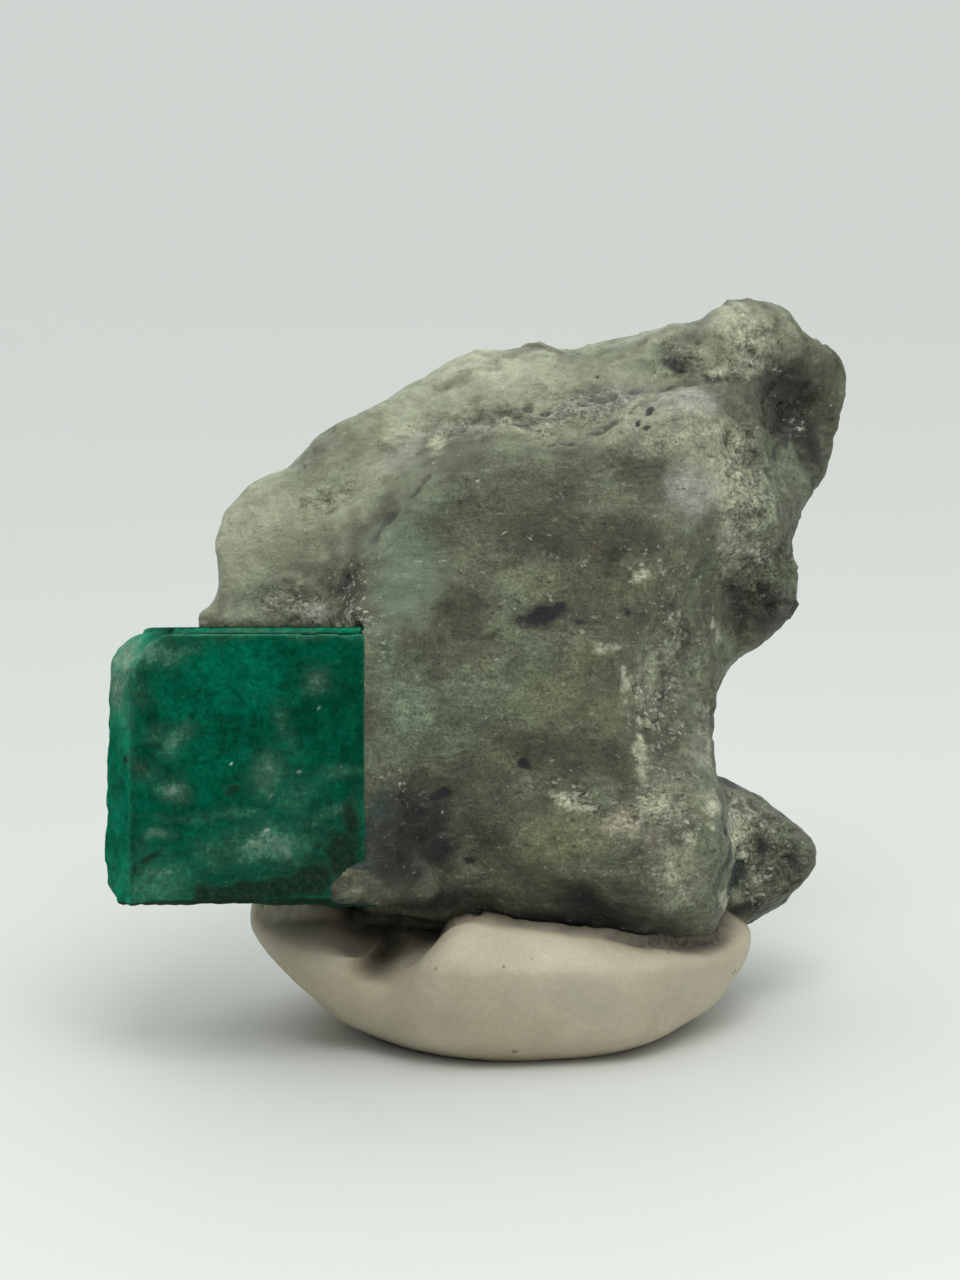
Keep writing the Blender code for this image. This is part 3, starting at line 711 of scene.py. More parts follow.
YELLOW_OLIVE_COAT = (
    (-7.3, 16.8, 1.5, 0.8, 0.4, 30), (-5.3, 19.4, 1.1, 0.5, 0.5, 35), (7.5, 22.6, 1.5, 0.5, 0.4, -20),
    (2.7, 10.1, 1.2, 1.6, 0.6), (2.1, 12.1, 1.1, 0.85, 0.5), (5.1, 15.4, 1.3, 1, 0.4),
    (-1.3, 12.3, 0.85, 0.5, 0.35), (-0.7, 8.9, 1, 0.8, 0.4), (1.1, 6.3, 1.6, 1.3, 0.7),
    (1, 10.9, 2.2, 1.4, 0.5), (0.8, 6.6, 1.7, 1.2, 0.6), (5.5, 5.2, 1.1, 1.1, 0.3),
    (0.6, 14.8, 1.6, 0.5, 0.4), (3.8, 14.8, 1.4, 0.8, 0.5),
)
LILAC_COAT = (
    (-3.8, 18.9, 2, 0.45, 0.5, 44), (-1.7, 19.7, 1.7, 0.3, 0.6, 14), (9.7, 20, 0.4, 0.3, 0.7),
    (1.3, 20.5, 1, 0.35, 0.6, 8), (3, 20.8, 1.9, 0.45, 0.75, 12), (5.6, 20.7, 1.5, 0.6, 0.85, 10),
    (5.5, 17.6, 1.1, 0.9, 0.9), (6, 9.4, 0.45, 0.85, 0.7), (-6.7, 13.6, 0.6, 0.35, 0.8),
)
BROWN_COAT = (
    (0.8, 22.5, 1.3, 0.25, 0.7), (-5.5, 15.2, 0.3, 1.5, 0.8, 10), (-5.7, 14.4, 0.4, 0.8, 0.5),
    (0.6, 17.2, 2.6, 0.6, 0.6, -5), (0.8, 16.6, 2.3, 1, 1, -5), (2.8, 16, 1.8, 1.2, 1),
    (0.6, 9.3, 2.2, 0.6, 0.8, -5), (2.8, 8.9, 0.9, 0.8, 0.8), (5.1, 16, 1.2, 0.4, 0.5),
    (2.2, 17.6, 1.9, 0.5, 0.5, -8), (3.9, 13.3, 1, 0.5, 0.5), (8.3, 13.8, 1, 1, 0.8),
    (-1.7, 8.4, 1.9, 0.4, 0.5), (-1.1, 6.1, 0.6, 1.2, 0.7), (3.2, 4.6, 1.9, 0.4, 0.5),
    (-5.5, 5.1, 0.9, 0.5, 0.4), (-4.7, 17, 1, 0.35, 0.7, 45), (10.7, 20.9, 0.5, 1.8, 0.8, 8),
    (-1.9, 14, 1.3, 0.8, 0.6, 10), (1.8, 8.7, 1.4, 0.5, 0.5), (5.4, 22.2, 0.8, 0.4, 0.5),
    (-3.2, 18.5, 0.9, 0.25, 0.4, 45), (8.9, 4.6, 0.8, 1, 0.5), (8.9, 21.4, 0.9, 1.3, 0.8),
    (-5.9, 4.9, 0.9, 0.8, 0.6),
)
# Dark stone, and painted shade: along the rock's underside, beside the ledge left of the central mass,
# under the ridge at the top right and in the cavities of the right flank
DARK_COAT = (
    (-5.6, 14.5, 0.22, 1.1, 0.7, 10), (5.6, 22, 0.5, 0.4, 0.5), (1.3, 13.8, 1.6, 0.25, 0.5, -8),
    (-3.5, 6.5, 1.7, 1.7, 1), (-3.8, 5.3, 1.4, 0.6, 0.9), (-2.6, 5.9, 0.8, 0.9, 1),
    (-5, 6.6, 0.4, 0.9, 0.8), (-2.6, 4.1, 2, 0.5, 1), (1.3, 3.6, 3.8, 0.6, 1), (1.8, 4.3, 0.85, 0.5, 0.7),
    (3.8, 3.2, 1.8, 0.3, 0.9), (9.4, 21.2, 0.9, 1.3, 1), (9.9, 19.7, 0.5, 1.3, 0.8, 8),
    (9, 20.4, 0.5, 0.9, 0.9), (8.7, 21.6, 0.4, 0.9, 0.9), (7.4, 13.8, 0.4, 0.75, 0.8),
    (6.7, 5.8, 0.1, 1.7, 0.8, -4), (8.2, 5.6, 0.5, 0.4, 0.8, -40), (9.4, 5.3, 0.3, 0.7, 0.6, -20),
    (7.5, 3.4, 1.4, 0.25, 0.8, 10), (0.9, 15.9, 1.5, 0.7, 0.45, -5), (-4.7, 4.8, 0.9, 0.3, 0.4),
    (-5.3, 3.9, 0.7, 0.25, 1), (10, 16.6, 0.15, 1.2, 0.5, 10), (8.6, 16.9, 0.1, 0.7, 0.5, 15),
)
TEAL_COAT = (
    (7.3, 4.7, 0.4, 0.75, 1), (8.5, 4.6, 0.2, 0.4, 0.5), (-4.4, 7, 0.6, 0.9, 0.5),
    (-6.3, 4.8, 0.3, 0.6, 0.8), (-5.2, 5.75, 0.7, 0.35, 0.8), (-6, 4.25, 0.5, 0.15, 0.6),
)
PINK_COAT = (
    (7.2, 23.3, 0.6, 0.3, 0.3), (1.3, 19.7, 0.6, 0.2, 0.3), (5.4, 18.7, 0.4, 0.25, 0.4),
    (3.4, 7.1, 0.9, 0.5, 0.85), (4.3, 6.3, 0.5, 0.4, 0.5),
)
# Painted shade in the hollows and cavities of the front, where the stone is partly darker too
HOLLOW_COAT = (
    (9.1, 21.3, 0.75, 1, 1), (9.3, 20.2, 0.55, 0.9, 0.9), (8.9, 19.4, 0.2, 0.5, 0.7),
    (8.6, 13.7, 0.8, 0.8, 0.8, 20), (7.5, 14.2, 0.3, 0.6, 0.7), (5.3, 22, 0.6, 0.25, 0.6),
    (6.5, 21.7, 0.6, 0.15, 0.6), (7.5, 7.9, 0.5, 0.4, 0.7, -30), (9.2, 5.1, 0.4, 0.6, 0.6, 20),
    (7.8, 6, 0.14, 0.14, 1), (4.7, 11, 0.2, 0.5, 0.5, -10), (5.4, 9.2, 0.2, 0.3, 0.4),
)
CRUST_COAT = (
    (3.9, 8.95, 0.4, 0.7, 0.62), (4.8, 7.75, 0.55, 0.5, 0.65), (3.5, 11.1, 0.3, 0.9, 0.6),
    (4.2, 10, 0.35, 0.5, 0.55), (5.6, 6.2, 0.4, 0.4, 0.55), (5.1, 5.3, 0.35, 0.5, 0.5),
    (1.5, 7.7, 0.9, 0.25, 0.65, -25), (2.7, 12.6, 0.6, 0.3, 0.5), (5, 13.3, 0.8, 0.5, 0.45),
    (6.2, 7, 0.5, 0.8, 0.5), (3.2, 6.6, 0.8, 0.4, 0.45), (6.2, 9.4, 0.4, 1, 0.5),
    (6.6, 13.3, 0.25, 0.5, 0.6), (7.3, 18.7, 0.25, 1.2, 0.7, 8), (6.9, 17.2, 0.2, 0.9, 0.7, 15),
    (8, 15.5, 0.6, 0.25, 0.8), (-6.4, 17.5, 0.4, 0.18, 0.9, 10), (-2.6, 19.3, 0.3, 0.3, 0.8),
    (7.1, 6.4, 0.14, 1, 0.9, -4), (8, 6.8, 0.5, 0.25, 0.8, -20), (6.8, 4, 0.2, 0.5, 0.8),
    (-7.8, 14.1, 0.7, 0.2, 0.7), (9.6, 20, 0.35, 0.2, 0.8), (7.7, 23.3, 0.6, 0.3, 0.6),
    (6.9, 22, 0.6, 0.2, 0.6, 10), (4.4, 15.1, 0.6, 0.2, 0.5, 8), (7.5, 5.4, 0.3, 0.2, 0.7),
)
# Where pale crumbs lie thickest, in the same form
CRUMBS = (
    (-7.8, 14, 1.1, 0.3, 0.8), (-5.1, 13.6, 0.4, 0.3, 0.9), (-6.3, 17.6, 0.4, 0.2, 0.9),
    (-5.6, 15, 0.5, 1.4, 0.35, 10), (-6.8, 18, 1, 0.3, 0.4, 35), (-2.5, 19.6, 0.5, 0.2, 0.6, 15),
    (9.6, 20, 0.35, 0.3, 0.8), (7.1, 15.6, 0.3, 1.3, 0.8, 5), (7.6, 17.6, 0.5, 2.2, 0.4, 5),
    (-4, 8.1, 0.8, 0.4, 0.5, -30), (3.9, 11, 0.25, 1.2, 0.9, -5), (4.7, 9.9, 0.6, 1.4, 0.7),
    (1.8, 7.7, 1.2, 0.3, 0.9, -28), (3.9, 7.8, 1, 0.5, 0.6), (4.9, 7.2, 0.6, 1, 0.6),
    (7.1, 6.4, 0.25, 1, 1, -4), (7.9, 6.7, 0.45, 0.35, 0.9), (7.8, 3.9, 0.5, 0.4, 0.8),
    (8.6, 6.2, 0.5, 0.2, 0.9, -40), (6.9, 4, 0.25, 0.5, 0.9), (8.4, 15.7, 0.8, 0.3, 0.8),
    (5.2, 12.6, 1, 0.8, 0.45), (7.8, 22.4, 1.2, 0.8, 0.4), (4.2, 5.4, 0.6, 0.9, 0.4, 10),
    (0.9, 14.3, 0.1, 0.15, 1), (1.8, 13.1, 0.9, 0.25, 0.5), (-4.7, 12.7, 0.2, 0.4, 0.6),
    (3.4, 7.3, 1.2, 0.8, 0.5), (8.2, 4.6, 0.5, 0.6, 0.6), (2.4, 15.1, 0.5, 0.15, 0.6, 10),
    (5.4, 5.2, 0.9, 0.9, 0.4), (-5.45, 14, 0.4, 0.9, 0.8), (-6.9, 13.5, 0.8, 0.25, 0.8),
    (-8.6, 13.1, 3.3, 0.15, 0.6), (4.5, 10.4, 0.9, 2, 0.7), (5.2, 7, 1.1, 1.3, 0.6),
    (4.9, 12.9, 0.9, 0.8, 0.5), (3, 5.4, 1.4, 0.5, 0.3), (0.8, 6.4, 1.6, 0.9, 0.35),
    (5, 15.2, 1.4, 0.8, 0.5), (7.3, 6.4, 0.4, 0.9, 0.7),
)
# Each coat's colour and patches, and how much of the other sides it takes
ROCK_COATS = (
    (PALE_STONE, PALE_STONE_COAT, 0.5), (GREEN, GREEN_COAT, 0.4), (PALE_GREEN, PALE_GREEN_COAT, 0.3),
    (YELLOW_OLIVE, YELLOW_OLIVE_COAT, 0.4), (CREAM, CREAM_COAT, 0.3), (LILAC, LILAC_COAT, 0.3),
    (BROWN, BROWN_COAT, 0.5), (DARK, DARK_COAT, 0.35), (TEAL, TEAL_COAT, 0.0),
    (PINK, PINK_COAT, 0.0), (CRUST, CRUST_COAT, 0.0), (SHADED, HOLLOW_COAT, 0.0),
)
# The coats with crisper edges
CRISP = (SHADED, TEAL, CRUST)
# The slab's lower edge, as a line of (x, z); below it the stone is livelier
SLAB_EDGE = ((-5.5, 13.0), (-5.2, 15.6), (-3.9, 17.3), (-2.3, 18.9), (1.0, 19.6), (7.5, 21.6))

# Small dark marks of the front, where it is crumbly and where it is smooth, in the same form
INK = (
    (0.65, 13.6, 0.85, 0.26, 1, 18), (1.2, 13.85, 0.5, 0.15, 0.9, 10), (3.4, 13.6, 0.17, 0.1, 1),
    (0.15, 8.75, 0.2, 0.19, 1), (-2.55, 7.8, 0.5, 0.14, 0.8, 15), (4.3, 20.35, 0.2, 0.11, 0.9, 30),
    (3.9, 19.95, 0.13, 0.09, 0.8), (4.15, 19.75, 0.1, 0.08, 0.8), (0.85, 20.45, 0.22, 0.07, 0.7),
    (0.2, 6.1, 0.2, 0.08, 0.9, -10), (1.6, 6.1, 0.1, 0.08, 0.8), (2, 4.2, 0.5, 0.25, 0.7),
    (2.7, 21.6, 0.1, 0.08, 0.9), (2, 22.6, 0.1, 0.08, 0.8), (-2.6, 6, 0.35, 0.3, 0.7, 20),
    (-1.6, 5.6, 0.25, 0.12, 0.9, -10), (-3.4, 5.1, 0.2, 0.1, 0.8), (1.9, 13.4, 0.25, 0.08, 0.7, -10),
)
CRUMBLY = (
    (7.6, 17.6, 1, 3.6, 1, 8), (5.2, 12.6, 1.2, 2.4, 0.8, 10), (4.6, 7.6, 1.6, 1.1, 0.8),
    (8, 22.6, 1.6, 1, 0.7), (9.3, 20.8, 1.2, 1.8, 0.8), (8.2, 14.8, 1.5, 1.8, 0.9), (8.4, 5.4, 2, 2.6, 1),
    (1, 20.3, 4.6, 0.6, 0.7, 10), (-3.4, 6.6, 1.6, 1.8, 0.5), (-6.6, 17.6, 1.2, 0.7, 0.6, 30),
    (-7.4, 14, 1.5, 0.6, 0.7), (6.2, 10.2, 0.9, 1.6, 0.8), (5.6, 22.1, 0.8, 0.7, 0.8),
    (1.9, 7.7, 1.5, 0.5, 0.8, -28), (-5.8, 14.4, 0.7, 1.2, 0.5),
)
CALM = (
    (-3.7, 15.2, 1.5, 2, 1), (-9, 16.2, 1.8, 2.2, 0.8), (-6.5, 18.6, 1.6, 0.8, 0.5, 35),
    (5.5, 17.6, 1.2, 1, 0.7), (5.6, 20.4, 1.6, 0.7, 0.7, 10), (-1.3, 21.4, 2, 0.7, 0.5, 12),
    (1, 6.6, 1.2, 1.2, 0.4), (2.6, 10.6, 1.2, 1.2, 0.4),
)

# Cracks of the front, as lines of (x, z), their own width and depth, and how far their stain
# and the groove that they lie in reach
CRACKS = (
    ((-3.5, 19.8), (-2.9, 19.95), (-2.3, 20.15), (-1.6, 20.2), (-1.0, 20.35), (0.3, 20.6)),
    ((0.8, 19.35), (1.5, 19.42), (2.0, 19.5), (2.6, 19.85), (3.2, 20.25), (3.9, 20.6), (4.8, 20.7)),
    ((2.3, 20.85), (3.4, 20.9), (4.3, 21.0), (5.25, 21.2), (7.2, 21.6)),
    ((-5.5, 14.6), (-5.3, 15.6), (-4.7, 16.4), (-3.9, 17.2), (-3.2, 18.1), (-2.6, 18.6)),
)
CRACK_WIDTH = 0.13
CRACK_DEPTH = 0.1
STAIN_REACH = 0.5
GROOVE_REACH = 0.55

# Pits of the front and of the top outline, as (x, z, radius, depth); a bump's depth is negative
PITS = (
    (0.15, 8.75, 0.14, 0.12), (0.75, 13.65, 0.4, 0.15), (0.35, 13.5, 0.25, 0.12),
    (4.3, 20.35, 0.22, 0.15), (3.85, 19.9, 0.16, 0.12), (0.8, 20.45, 0.22, 0.12), (0.2, 20, 0.25, 0.12),
    (2.1, 4.1, 0.45, 0.2), (-2.5, 7.8, 0.3, 0.1), (-6.5, 17.3, 0.35, 0.12), (5.8, 23, 0.4, 0.25),
    (7.1, 23.5, 0.7, -0.22), (5.2, 23, 0.3, -0.1), (0.9, 22.3, 0.5, -0.15), (9.2, 20.9, 0.7, 0.35),
    (9.5, 19.9, 0.25, -0.2), (-1.7, 22, 0.5, -0.1), (-2.9, 21.7, 0.3, 0.1),
)
OUTLINE_PITS = (
    (6.2, 23.5, 0.45, 0.22), (5.2, 23.3, 0.4, -0.08), (7.2, 24, 0.5, -0.08), (0.3, 22.7, 0.4, -0.1),
    (1.6, 22.8, 0.5, 0.1), (-5.6, 20, 0.35, -0.1), (-7, 18.9, 0.4, 0.06), (8.2, 23.9, 0.4, 0.12),
)

# How often the rock is smoothed over, and its grooves after it
ROCK_PASSES = 22
GROOVE_PASSES = 50

# Where the rock keeps its sharp edge along the crystal's right front edge and over its top,
# and where it lies flush beside it, as ranges of z in which this rises and falls away
SHARP_Z = (5.2, 5.8), (12.9, 13.3)
FLUSH_Z = (6.6, 7.6), (12.7, 13.4)
SHARP_REACH = (0.5, 0.6)
LEDGE_REACH = 0.3
FLUSH_REACH = 0.9

# Low relief of the rock and its fine mottling, as (height, wave, seed), and how its coats and
# its cracks wander, as (wave, distance)
ROCK_WAVES = (0.1, 1.9, 71.0), (0.05, 0.8, 73.0)
MOTTLE_WAVES = (0.6, 0.45, 107.0), (0.5, 0.26, 131.0)
COAT_STEPS = (2.4, 0.5), (0.8, 0.25), (0.3, 0.08)
CRACK_STEPS = (0.6, 0.12), (0.25, 0.1)


def foot_beads(mesh):
    """The beads along the rock's foot above the crystal, as (x, y, z, radius)."""
    surface = surface_of(mesh)
    beads = []
    for x in np.arange(*BEADS_X, BEADS_STEP).tolist():
        hit = surface.ray_cast(Vector((x, -20.0, BEADS_FOLLOW_Z)), Vector((0.0, 1.0, 0.0)))[0]
        if hit is not None:
            wobble = BEADS_WOBBLE * noise.noise(Vector((3.0 * x, 0.0, 0.0)))
            beads.append((x, hit.y + BEADS_BEHIND + wobble, BEADS_Z, BEADS_RADIUS + wobble))
    return tuple(beads)


def with_lumps(mesh, lumps, low, high):
    """The mesh with a ball of stone at each lump and a block, to be joined by the remesh."""
    bm = bmesh.new()
    bm.from_mesh(mesh)
    middle, size = (Vector(low) + Vector(high)) / 2.0, Vector(high) - Vector(low)
    block = Matrix.Translation(middle) @ Matrix.Diagonal((*size, 1.0))
    bmesh.ops.create_cube(bm, size=1.0, matrix=block)
    for *centre, radius in lumps:
        place = Matrix.Translation(centre)
        bmesh.ops.create_icosphere(bm, subdivisions=3, radius=radius, matrix=place)
    bm.to_mesh(mesh)
    bm.free()
    return mesh


def rock_colours(places, spread, front, height, lively):
    """The rock's colour at each place: a mottled ground, then each coat with ragged edges."""
    fine = waves(places, MOTTLE_WAVES)
    mottle = smoothstep(-0.35, 0.35, smooth_noise(places, 1.7, 109.0) + 0.4 * fine)
    colours = np.outer(mottle, SAGE) + np.outer(1.0 - mottle, DULL_SAGE)
    for index, (tone, patches, elsewhere) in enumerate(ROCK_COATS):
        drift = smooth_noise(spread, 2.6, 113.0 + 7.0 * index)
        share = front * soft_spots(spread, patches)
        share += (1.0 - front) * elsewhere * smoothstep(0.05, 0.45, drift)
        low, high, wear = (0.25, 0.55, 1.5) if tone in CRISP else (0.08, 0.85, 0.4)
        share = smoothstep(low, high, share * (1.0 + wear * fine + 0.2 * drift))
        colours += share[:, None] * (np.array(tone) - colours)
    # Painted light and shade: lighter on the raised places of the relief and darker in its hollows; then
    # blots of tone.
    wear_and_shade = np.clip(1.0 + 1.2 * height, 0.7, 1.2)
    blots = 0.6 * smooth_noise(along_foliation(spread, 1.6), 0.8, 151.0)
    blots += 0.5 * smooth_noise(along_foliation(places, 1.6), 0.4, 157.0)
    wear_and_shade *= 1.0 + (0.08 + 0.42 * lively) * blots
    return colours * wear_and_shade[:, None]


def rock_mesh(crystal):
    """The rock, its socket drawn in to the crystal's surface."""
    mesh = solid_mesh("matrix_rock")
    mesh = with_lumps(mesh, FOOT_LUMPS + foot_beads(mesh), *EDGE_BLOCK)
    mesh = remeshed(mesh, ROCK_DETAIL)
    places, normals = places_and_normals(mesh)
    skin = surface_of(crystal)
    wall = closeness(skin, places, normals)

    x, y, z = places.T
    edge = fading(x - FRONT_RIGHT_X, SHARP_REACH[0]) * fading(y - FRONT_Y, SHARP_REACH[1])
    edge *= within(z, *SHARP_Z)
    ledge = 0.7 * fading(z - CRYSTAL_TOP, LEDGE_REACH)
    ledge *= smoothstep(4.8, 5.3, -x) * smoothstep(1.0, 2.0, -y)
    kept = np.maximum(edge, ledge)
    mesh = softened(mesh, ROCK_PASSES, 1.0 - 0.95 * kept)
    places, _ = places_and_normals(mesh)
    groove = fading(distance_to_cracks(places), GROOVE_REACH) * smoothstep(-1.0, 0.5, -places[:, 1])
    mesh = softened(mesh, GROOVE_PASSES, 0.9 * groove * (1.0 - kept))
    places, normals = places_and_normals(mesh)
    x, y, z = places.T

    front = smoothstep(-0.7, -0.15, -normals[:, 1])
    other = 1.0 - front
    spread = wandered(places, COAT_STEPS)
    crumbly = front * soft_spots(spread, CRUMBLY)
    crumbly = np.maximum(crumbly, other * smoothstep(-0.1, 0.5, smooth_noise(places, 3.1, 31.0)))
    near = places + 0.25 * (spread - places)
    jagged = wandered(near, CRACK_STEPS)
    away = distance_to_cracks(jagged)
    gone = 1.0 - smoothstep(-0.35, 0.2, smooth_noise(places, 0.8, 53.0))
    crack = front * fading(away, CRACK_WIDTH) * (1.0 - gone)

    rim = np.clip(smoothstep(18.0, 21.5, z) + smoothstep(6.0, 9.0, x), 0.0, 1.0)
    height = waves(places, ROCK_WAVES)
    height += (0.02 + 0.04 * crumbly) * smooth_noise(along_foliation(places, 4.0), 0.35, 67.0)
    height += (0.08 + 0.22 * crumbly + 0.1 * rim) * facet_height(near, 1.5, 3.0)
    height += (0.08 + 0.22 * crumbly + 0.15 * rim) * facet_height(near, 0.75, 5.0)
    height += (0.08 + 0.35 * crumbly + 0.1 * rim) * facet_height(places, 0.4, 7.0)
    height += (0.01 + 0.05 * crumbly) * smooth_noise(places, 0.27, 61.0)
    height -= CRACK_DEPTH * crack
    rough_place = places + 0.6 * (spread - places)
    height -= front * dents(rough_place, PITS)
    height -= smoothstep(0.0, 0.4, normals[:, 2]) * dents(rough_place, OUTLINE_PITS)
    turned = smoothstep(0.0, 0.35, np.abs(normals[:, 1]))
    lobe = smoothstep(7.0, 8.0, x) * (1.0 - smoothstep(7.5, 9.0, z))
    height *= (1.0 - wall) * (1.0 - kept) * (0.6 + 0.4 * turned) * (1.0 - 0.45 * lobe)
    places += normals * height[:, None]

    flush = fading(x - FRONT_RIGHT_X, FLUSH_REACH) * within(z, *FLUSH_Z)
    flush *= smoothstep(0.3, 0.7, -normals[:, 1])
    y += flush * (FRONT_Y + 0.03 + 0.3 * height - y)
    places = pressed(skin, places, wall * (1.0 - edge))
    x, y, z = places.T
    over = (x < FRONT_RIGHT_X + 0.02) & (y < FRONT_Y + SINK) & (z < CRYSTAL_TOP)
    over &= z > 5.8 + 0.4 * smooth_noise(places, 1.0, 127.0)
    y[over] = FRONT_Y + SINK
    move_to(mesh, places)

    edge_x, edge_z = np.array(SLAB_EDGE).T
    below = np.where(np.interp(spread[:, 0], edge_x, edge_z) > spread[:, 2], 1.0, -1.0)
    inner = smoothstep(-1.2, 1.2, below * distance_to_line(spread, SLAB_EDGE))
    crumbs = front * soft_spots(spread, CRUMBS)
    crumbs += 0.5 * other * smoothstep(0.1, 0.5, smooth_noise(spread, 1.3, 137.0))
    calm = 1.0 - 0.75 * soft_spots(spread, CALM)
    coarse = np.maximum(crumbly, 0.45 * inner) * calm
    lively = np.maximum(crumbly, 0.85 * inner) * calm + 0.9 * front * crumbs
    paint(mesh, "stone", rock_colours(places, spread, front, height, lively).T)
    paint(mesh, "marks", (
        front * soft_spots(jagged, INK),
        front * (1.0 - away / STAIN_REACH - 0.3 * gone),
        crumbs,
        coarse,
    ))
    return mesh


def rock_material():
    material, shader, place = new_material("schist")
    tree = material.node_tree
    stone = add_node(tree, "ShaderNodeAttribute", {}, attribute_name="stone").outputs["Color"]
    ink, crack, crumbs, coarse = masks(material, "marks")

    clouds = noise_value(place, 1.3, 6.0, 0.6, 0.4)
    blots = noise_value(place, 2.6, 5.0, 0.6, 0.8)
    grain = noise_value(place, 5.0, 8.0, 0.72)
    speckle = noise_value(place, 10.0, 4.0, 0.75)
    leaf = noise_value(stretched(place, LEAF_DEG, (1.8, 2.2, 5.5)), 1.0, 7.0, 0.68, 0.3)
    gravel = cells(stretched(jittered(place, 5.0, 0.1), LEAF_DEG, (5.0, 5.5, 7.0)), 1.0)
    tosses = add_node(tree, "ShaderNodeSeparateColor", {0: gravel["Color"]})
    toss, tone, other_toss = tosses.outputs
    lump = between(gravel["Distance"], 0.62, 0.3)
    crumb = noise_value(stretched(place, LEAF_DEG, (3.6, 4.0, 5.6)), 1.0, 6.0, 0.68, 0.5)

    colour = shaded(stone, between(clouds, 0.3, 0.7, 0.93, 1.07))
    colour = shaded(colour, between(blots, 0.35, 0.65, 0.95, 1.05))
    swing = between(coarse, 0.0, 1.0, 0.11, 0.52)
    for texture, share in ((grain, 1.0), (leaf, 0.8), (speckle, 0.8)):
        swung = times(between(texture, 0.3, 0.7, -share, share), swing)
        colour = shaded(colour, arithmetic("ADD", swung, 1.0))
    dark_leaf = times(between(leaf, 0.42, 0.34), between(coarse, 0.0, 1.0, 0.2, 0.7))
    colour = mixed(dark_leaf, colour, DARK_LEAF)
    streak = times(between(leaf, 0.6, 0.68), between(grain, 0.45, 0.6, 0.0, 0.4))
    colour = mixed(streak, colour, CRUMB)
    pale = times(between(plus(toss, (crumbs, 0.6), (coarse, 0.1)), 1.0, 1.3), lump)
    pale = largest(pale, between(plus(crumb, (crumbs, 0.13), (coarse, 0.04)), 0.65, 0.71))
    pale = times(pale, between(tone, 0.0, 1.0, 0.5, 0.9))
    colour = mixed(pale, colour, CRUMB)
    gap = times(between(plus(other_toss, (coarse, 0.15), (crumbs, 0.25)), 1.0, 1.2), lump)
    gap = largest(gap, between(plus(crumb, (coarse, -0.06)), 0.35, 0.31))
    colour = mixed(times(gap, 0.65), colour, GAP_COLOUR)
    ink = ragged(ink, grain, 1.8, 0.2, 0.6)
    colour = mixed(times(ink, 0.95), colour, INK_COLOUR)
    crack = ragged(crack, grain, 0.9, 0.7, 0.98)
    colour = mixed(times(crack, 0.8), colour, CRACK_COLOUR)

    relief = plus(grain, (leaf, 0.6), (speckle, 0.2), (pale, 0.25), (gap, -0.25), (crack, -0.3))
    relief = times(relief, between(coarse, 0.0, 1.0, 0.25, 1.05))
    set_inputs(shader, {
        "Base Color": colour,
        "Roughness": between(grain, 0.3, 0.7, 0.32, 0.62),
        "Subsurface Weight": 0.2,
        "Subsurface Radius": (1.0, 1.0, 0.8),
        "Subsurface Scale": 0.3 * MM,
        "Normal": bumped(relief, 0.22, 0.9),
    })
    return material


# ---- putty ------------------------------------------------------------------------------

# The hollow left of the front lip, as a line of (x, z), the dip of the rim above it, as
# (x, y, radius), and the crease and the painted shade where putty meets rock
PUTTY_HOLLOW = ((-3.2, 4.1), (-5.8, 4.1), (-4.3, 3.2), (-4.8, 2.0))
PUTTY_HOLLOW_WIDTH = 0.6
PUTTY_HOLLOW_DEPTH = 1.5
PUTTY_DIP = (-4.7, -5.9, 1.6)
PUTTY_DIP_DEPTH = 1.25
PUTTY_CREASE_REACH = 0.6
PUTTY_CREASE_DEPTH = 0.45
PUTTY_SHADE_REACH = 0.7

# Relief of the putty, as (height, wave, seed), and how often it is smoothed
PUTTY_WAVES = (0.05, 1.8, 89.0), (0.02, 0.6, 97.0)
PUTTY_PASSES = 12

# Colours of the putty, of the smudges on it, of the painted shade in its hollow and where it
# meets the stone, and of its specks
PUTTY_COLOURS = (0.50, 0.435, 0.32), (0.58, 0.515, 0.39)
SMUDGE_COLOUR = (0.40, 0.38, 0.31)
PAINTED_SHADE_COLOUR = (0.06, 0.053, 0.037)
DOT_COLOUR = (0.12, 0.11, 0.09)


